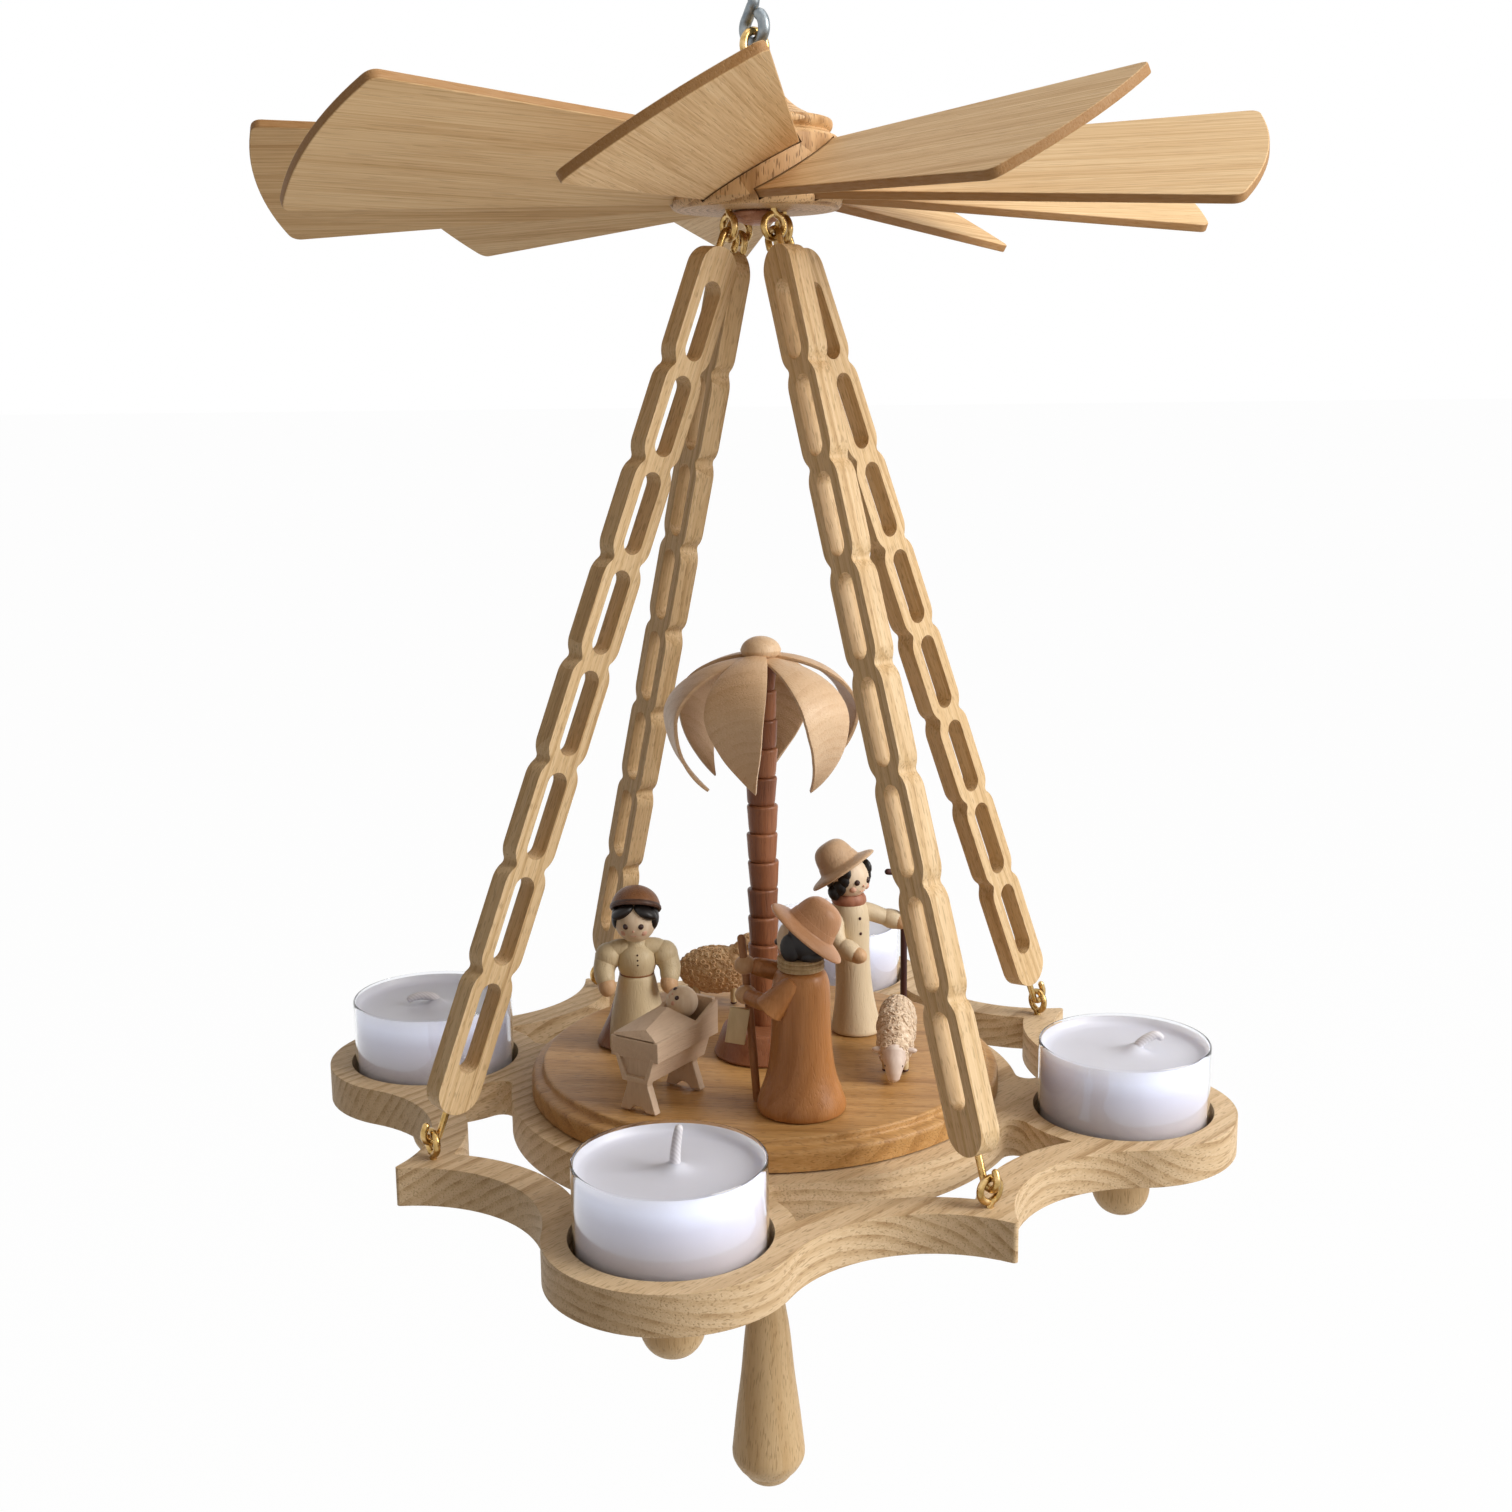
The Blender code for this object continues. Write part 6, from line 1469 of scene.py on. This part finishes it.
def buildInfant(body):
    outwards = Vector((-0.40, -0.52, 0.76)).normalized()      # the way the face looks, up and to the left
    side = Vector((0.80, -0.10, 0.36)).cross(outwards).normalized()
    facing = Matrix((outwards, side, outwards.cross(side))).transposed().to_4x4()
    place = Matrix.Translation(mangerPlace @ Vector((0.0078, 0.0003, 0.0198))) @ facing
    _, tube, ball = figureTools(body, place, 0.0036)
    ball((0, 0, 0), 1.0, 0, 32)
    addFace(ball, tube, (0.0, 0.0), 1.0, 2, 1, 1)


finishFigure("infantHead", buildInfant, [skinPaint, cheekPaint, eyePaint], mangerPlace, ["infant_figure"])
print("manger and infant made")


# Sheep: a coat of curls over a carved body, with a smooth face and legs

sheepSizes = {"gap": 0.00115, "curl": 0.00074, "yarn": 0.00028}
flock = {      # its length, place and heading, the balls of its coat, its muzzle, ear and eye
    "nearSheep": (0.0228, (0.552, -0.185, -98),
                  (((-0.16, 0, 0.405), (0.30, 0.190, 0.245)), ((0.06, 0, 0.39), (0.34, 0.195, 0.250)),
                   ((0.24, 0, 0.33), (0.24, 0.185, 0.235)), ((0.42, 0, 0.28), (0.120, 0.155, 0.170))),
                  ((0.46, 0, 0.27), (0.515, 0, 0.205), (0.55, 0, 0.14), (0.57, 0, 0.08)), (0.132, 0.068),
                  (0.45, 0.165, 0.305), (0.570, 0.075, 0.185), creamWool, "near_sheep"),
    "farSheep": (0.0190, (-0.210, 0.655, -4),
                 (((0.0, 0, 0.455), (0.50, 0.240, 0.320)), ((0.26, 0, 0.50), (0.24, 0.205, 0.290)),
                  ((0.35, 0, 0.66), (0.165, 0.150, 0.185)), ((0.45, 0, 0.82), (0.125, 0.120, 0.125))),
                 ((0.50, 0, 0.84), (0.56, 0, 0.80), (0.63, 0, 0.74), (0.69, 0, 0.70)), (0.115, 0.075),
                 (0.50, 0.115, 0.85), (0.585, 0.072, 0.800), goldenWool, "far_sheep")}
for number, (name, (size, spot, masses, muzzle, thick, ear, eye, wool, node)) in enumerate(flock.items()):
    place = figureFrame(*spot)

    def buildCoat(body):
        for centre, radii in masses:
            addBall(body, Vector(centre) * size, tuple(r * size for r in radii), place, 0, 24)

    coat = meshObject(name + "Coat", buildCoat)
    shadeSmooth(coat)
    growNodes(coat, curlTree, {"Gap": sheepSizes["gap"], "Curl Size": sheepSizes["curl"],
                               "Yarn": sheepSizes["yarn"],
                               "Seed": 21 + number, "Material": wool})
    fit(coat, [wool], "gondola", [node])

    def buildLimbs(body):
        _, tube, ball = figureTools(body, place, size)
        tube(list(muzzle), thick, 0, 18)
        for side in (-1, 1):
            ball((ear[0], side * ear[1], ear[2]), (0.032, 0.062, 0.030), 0, 12)
            ball((eye[0], side * eye[1], eye[2]), 0.019, 1, 8)
            for leg in (-0.26, 0.24):
                tube([(leg, side * 0.085, 0.40), (leg, side * 0.092, 0.16), (leg, side * 0.094, 0.045)],
                     (0.046, 0.040), 2)
                ball((leg, side * 0.094, 0.022), (0.042, 0.042, 0.022), 3, 12)
        tube([(-0.44, 0, 0.54), (-0.49, 0, 0.45), (-0.50, 0, 0.37)], (0.030, 0.026), 4)

    finishFigure(name + "Limbs", buildLimbs, [muzzlePaint, eyePaint, creamPaint, staffStain, wool], place, [node])
print("sheep made")


# Floor, lamps and camera

floorSizes = {"level": -0.62, "half": 40.0, "white": 0.98}     # it shows this share of white to the camera


# 1 for the rays of the camera, of reflections and of clear plastic, and 0 for light
def seenRays(tree):
    path = addNode(tree, "ShaderNodeLightPath").outputs
    seen = path["Is Camera Ray"]
    for name in ("Is Glossy Ray", "Is Transmission Ray"):
        seen = addNode(tree, "ShaderNodeMath", {"operation": "MAXIMUM"}, {0: seen, 1: path[name]}).outputs[0]
    return seen


floorMaterial, tree, shader = startMaterial("paleStudioFloor")
shader.inputs["Base Color"].default_value = hexColour("#DADADA")
shader.inputs["Roughness"].default_value = 0.9
part = addNode(tree, "ShaderNodeMath", {"operation": "MULTIPLY"}, {
    0: seenRays(tree), 1: floorSizes["white"]}).outputs[0]
white = addNode(tree, "ShaderNodeEmission", None, {"Color": (1, 1, 1, 1), "Strength": 1.0}).outputs[0]
mixed = addNode(tree, "ShaderNodeMixShader", None, {0: part, 1: shader.outputs[0], 2: white}).outputs[0]
tree.links.new(mixed, tree.nodes["Material Output"].inputs["Surface"])


def buildFloor(body):
    bmesh.ops.create_grid(body, x_segments=1, y_segments=1, size=floorSizes["half"],
                          matrix=Matrix.Translation((0, 0, floorSizes["level"])))


floor = meshObject("studioFloor", buildFloor)
floor.data.materials.append(floorMaterial)

world = bpy.data.worlds.new("studioWorld")
bpy.context.scene.world = world
world.use_nodes = True
tree = world.node_tree
tree.nodes.clear()
soft = addNode(tree, "ShaderNodeBackground", None, {"Color": hexColour("#F4DCC0"), "Strength": 0.13}).outputs[0]
white = addNode(tree, "ShaderNodeBackground", None, {"Color": (1, 1, 1, 1), "Strength": 1.0}).outputs[0]
mixed = addNode(tree, "ShaderNodeMixShader", None, {0: seenRays(tree), 1: soft, 2: white}).outputs[0]
addNode(tree, "ShaderNodeOutputWorld", None, {"Surface": mixed})

lampSizes = {
    "windowLamp": {"place": (1.10, -0.42, 0.36), "size": 0.8, "power": 20.0, "colour": "#FFFDFA"},
    "topLamp": {"place": (0.30, 0.05, 1.20), "size": 1.2, "power": 9.0, "colour": "#FFFCF8"},
    "frontLamp": {"place": (-0.20, -1.30, 0.25), "size": 1.2, "power": 1.3, "colour": "#FFE6CC"}}
middle = Vector((0, 0, -0.20))
for name, s in lampSizes.items():
    lamp = bpy.data.lights.new(name, "AREA")
    lamp.shape = "SQUARE"
    lamp.size = s["size"]
    lamp.energy = s["power"]
    lamp.color = hexColour(s["colour"])[:3]
    holder = bpy.data.objects.new(name, lamp)
    bpy.context.scene.collection.objects.link(holder)
    holder.location = s["place"]
    holder.rotation_euler = (middle - Vector(s["place"])).to_track_quat("-Z", "Y").to_euler()

viewSizes = {"place": (-0.00876, -0.42212, -0.12427), "down": math.radians(11.27), "yaw": math.radians(1.01),
             "roll": math.radians(-0.61), "lens": 1872.47 * 36 / 1512}
s = viewSizes
level = math.cos(s["down"])
forward = Vector((math.sin(s["yaw"]) * level, math.cos(s["yaw"]) * level, -math.sin(s["down"])))
right = Vector((math.cos(s["yaw"]), -math.sin(s["yaw"]), 0))
up = right.cross(forward)
c, t = math.cos(s["roll"]), math.sin(s["roll"])
right, up = right * c + up * t, up * c - right * t
camera = bpy.data.cameras.new("photoCamera")
camera.lens = s["lens"]
camera.sensor_width = 36.0
camera.sensor_fit = "HORIZONTAL"
camera.clip_start = 0.01
cameraHolder = bpy.data.objects.new("photoCamera", camera)
bpy.context.scene.collection.objects.link(cameraHolder)
cameraHolder.matrix_world = Matrix((*zip(right, up, -forward, s["place"]), (0, 0, 0, 1)))
bpy.context.scene.camera = cameraHolder
bpy.context.scene.view_settings.view_transform = "Standard"
print("floor, lamps and camera placed")
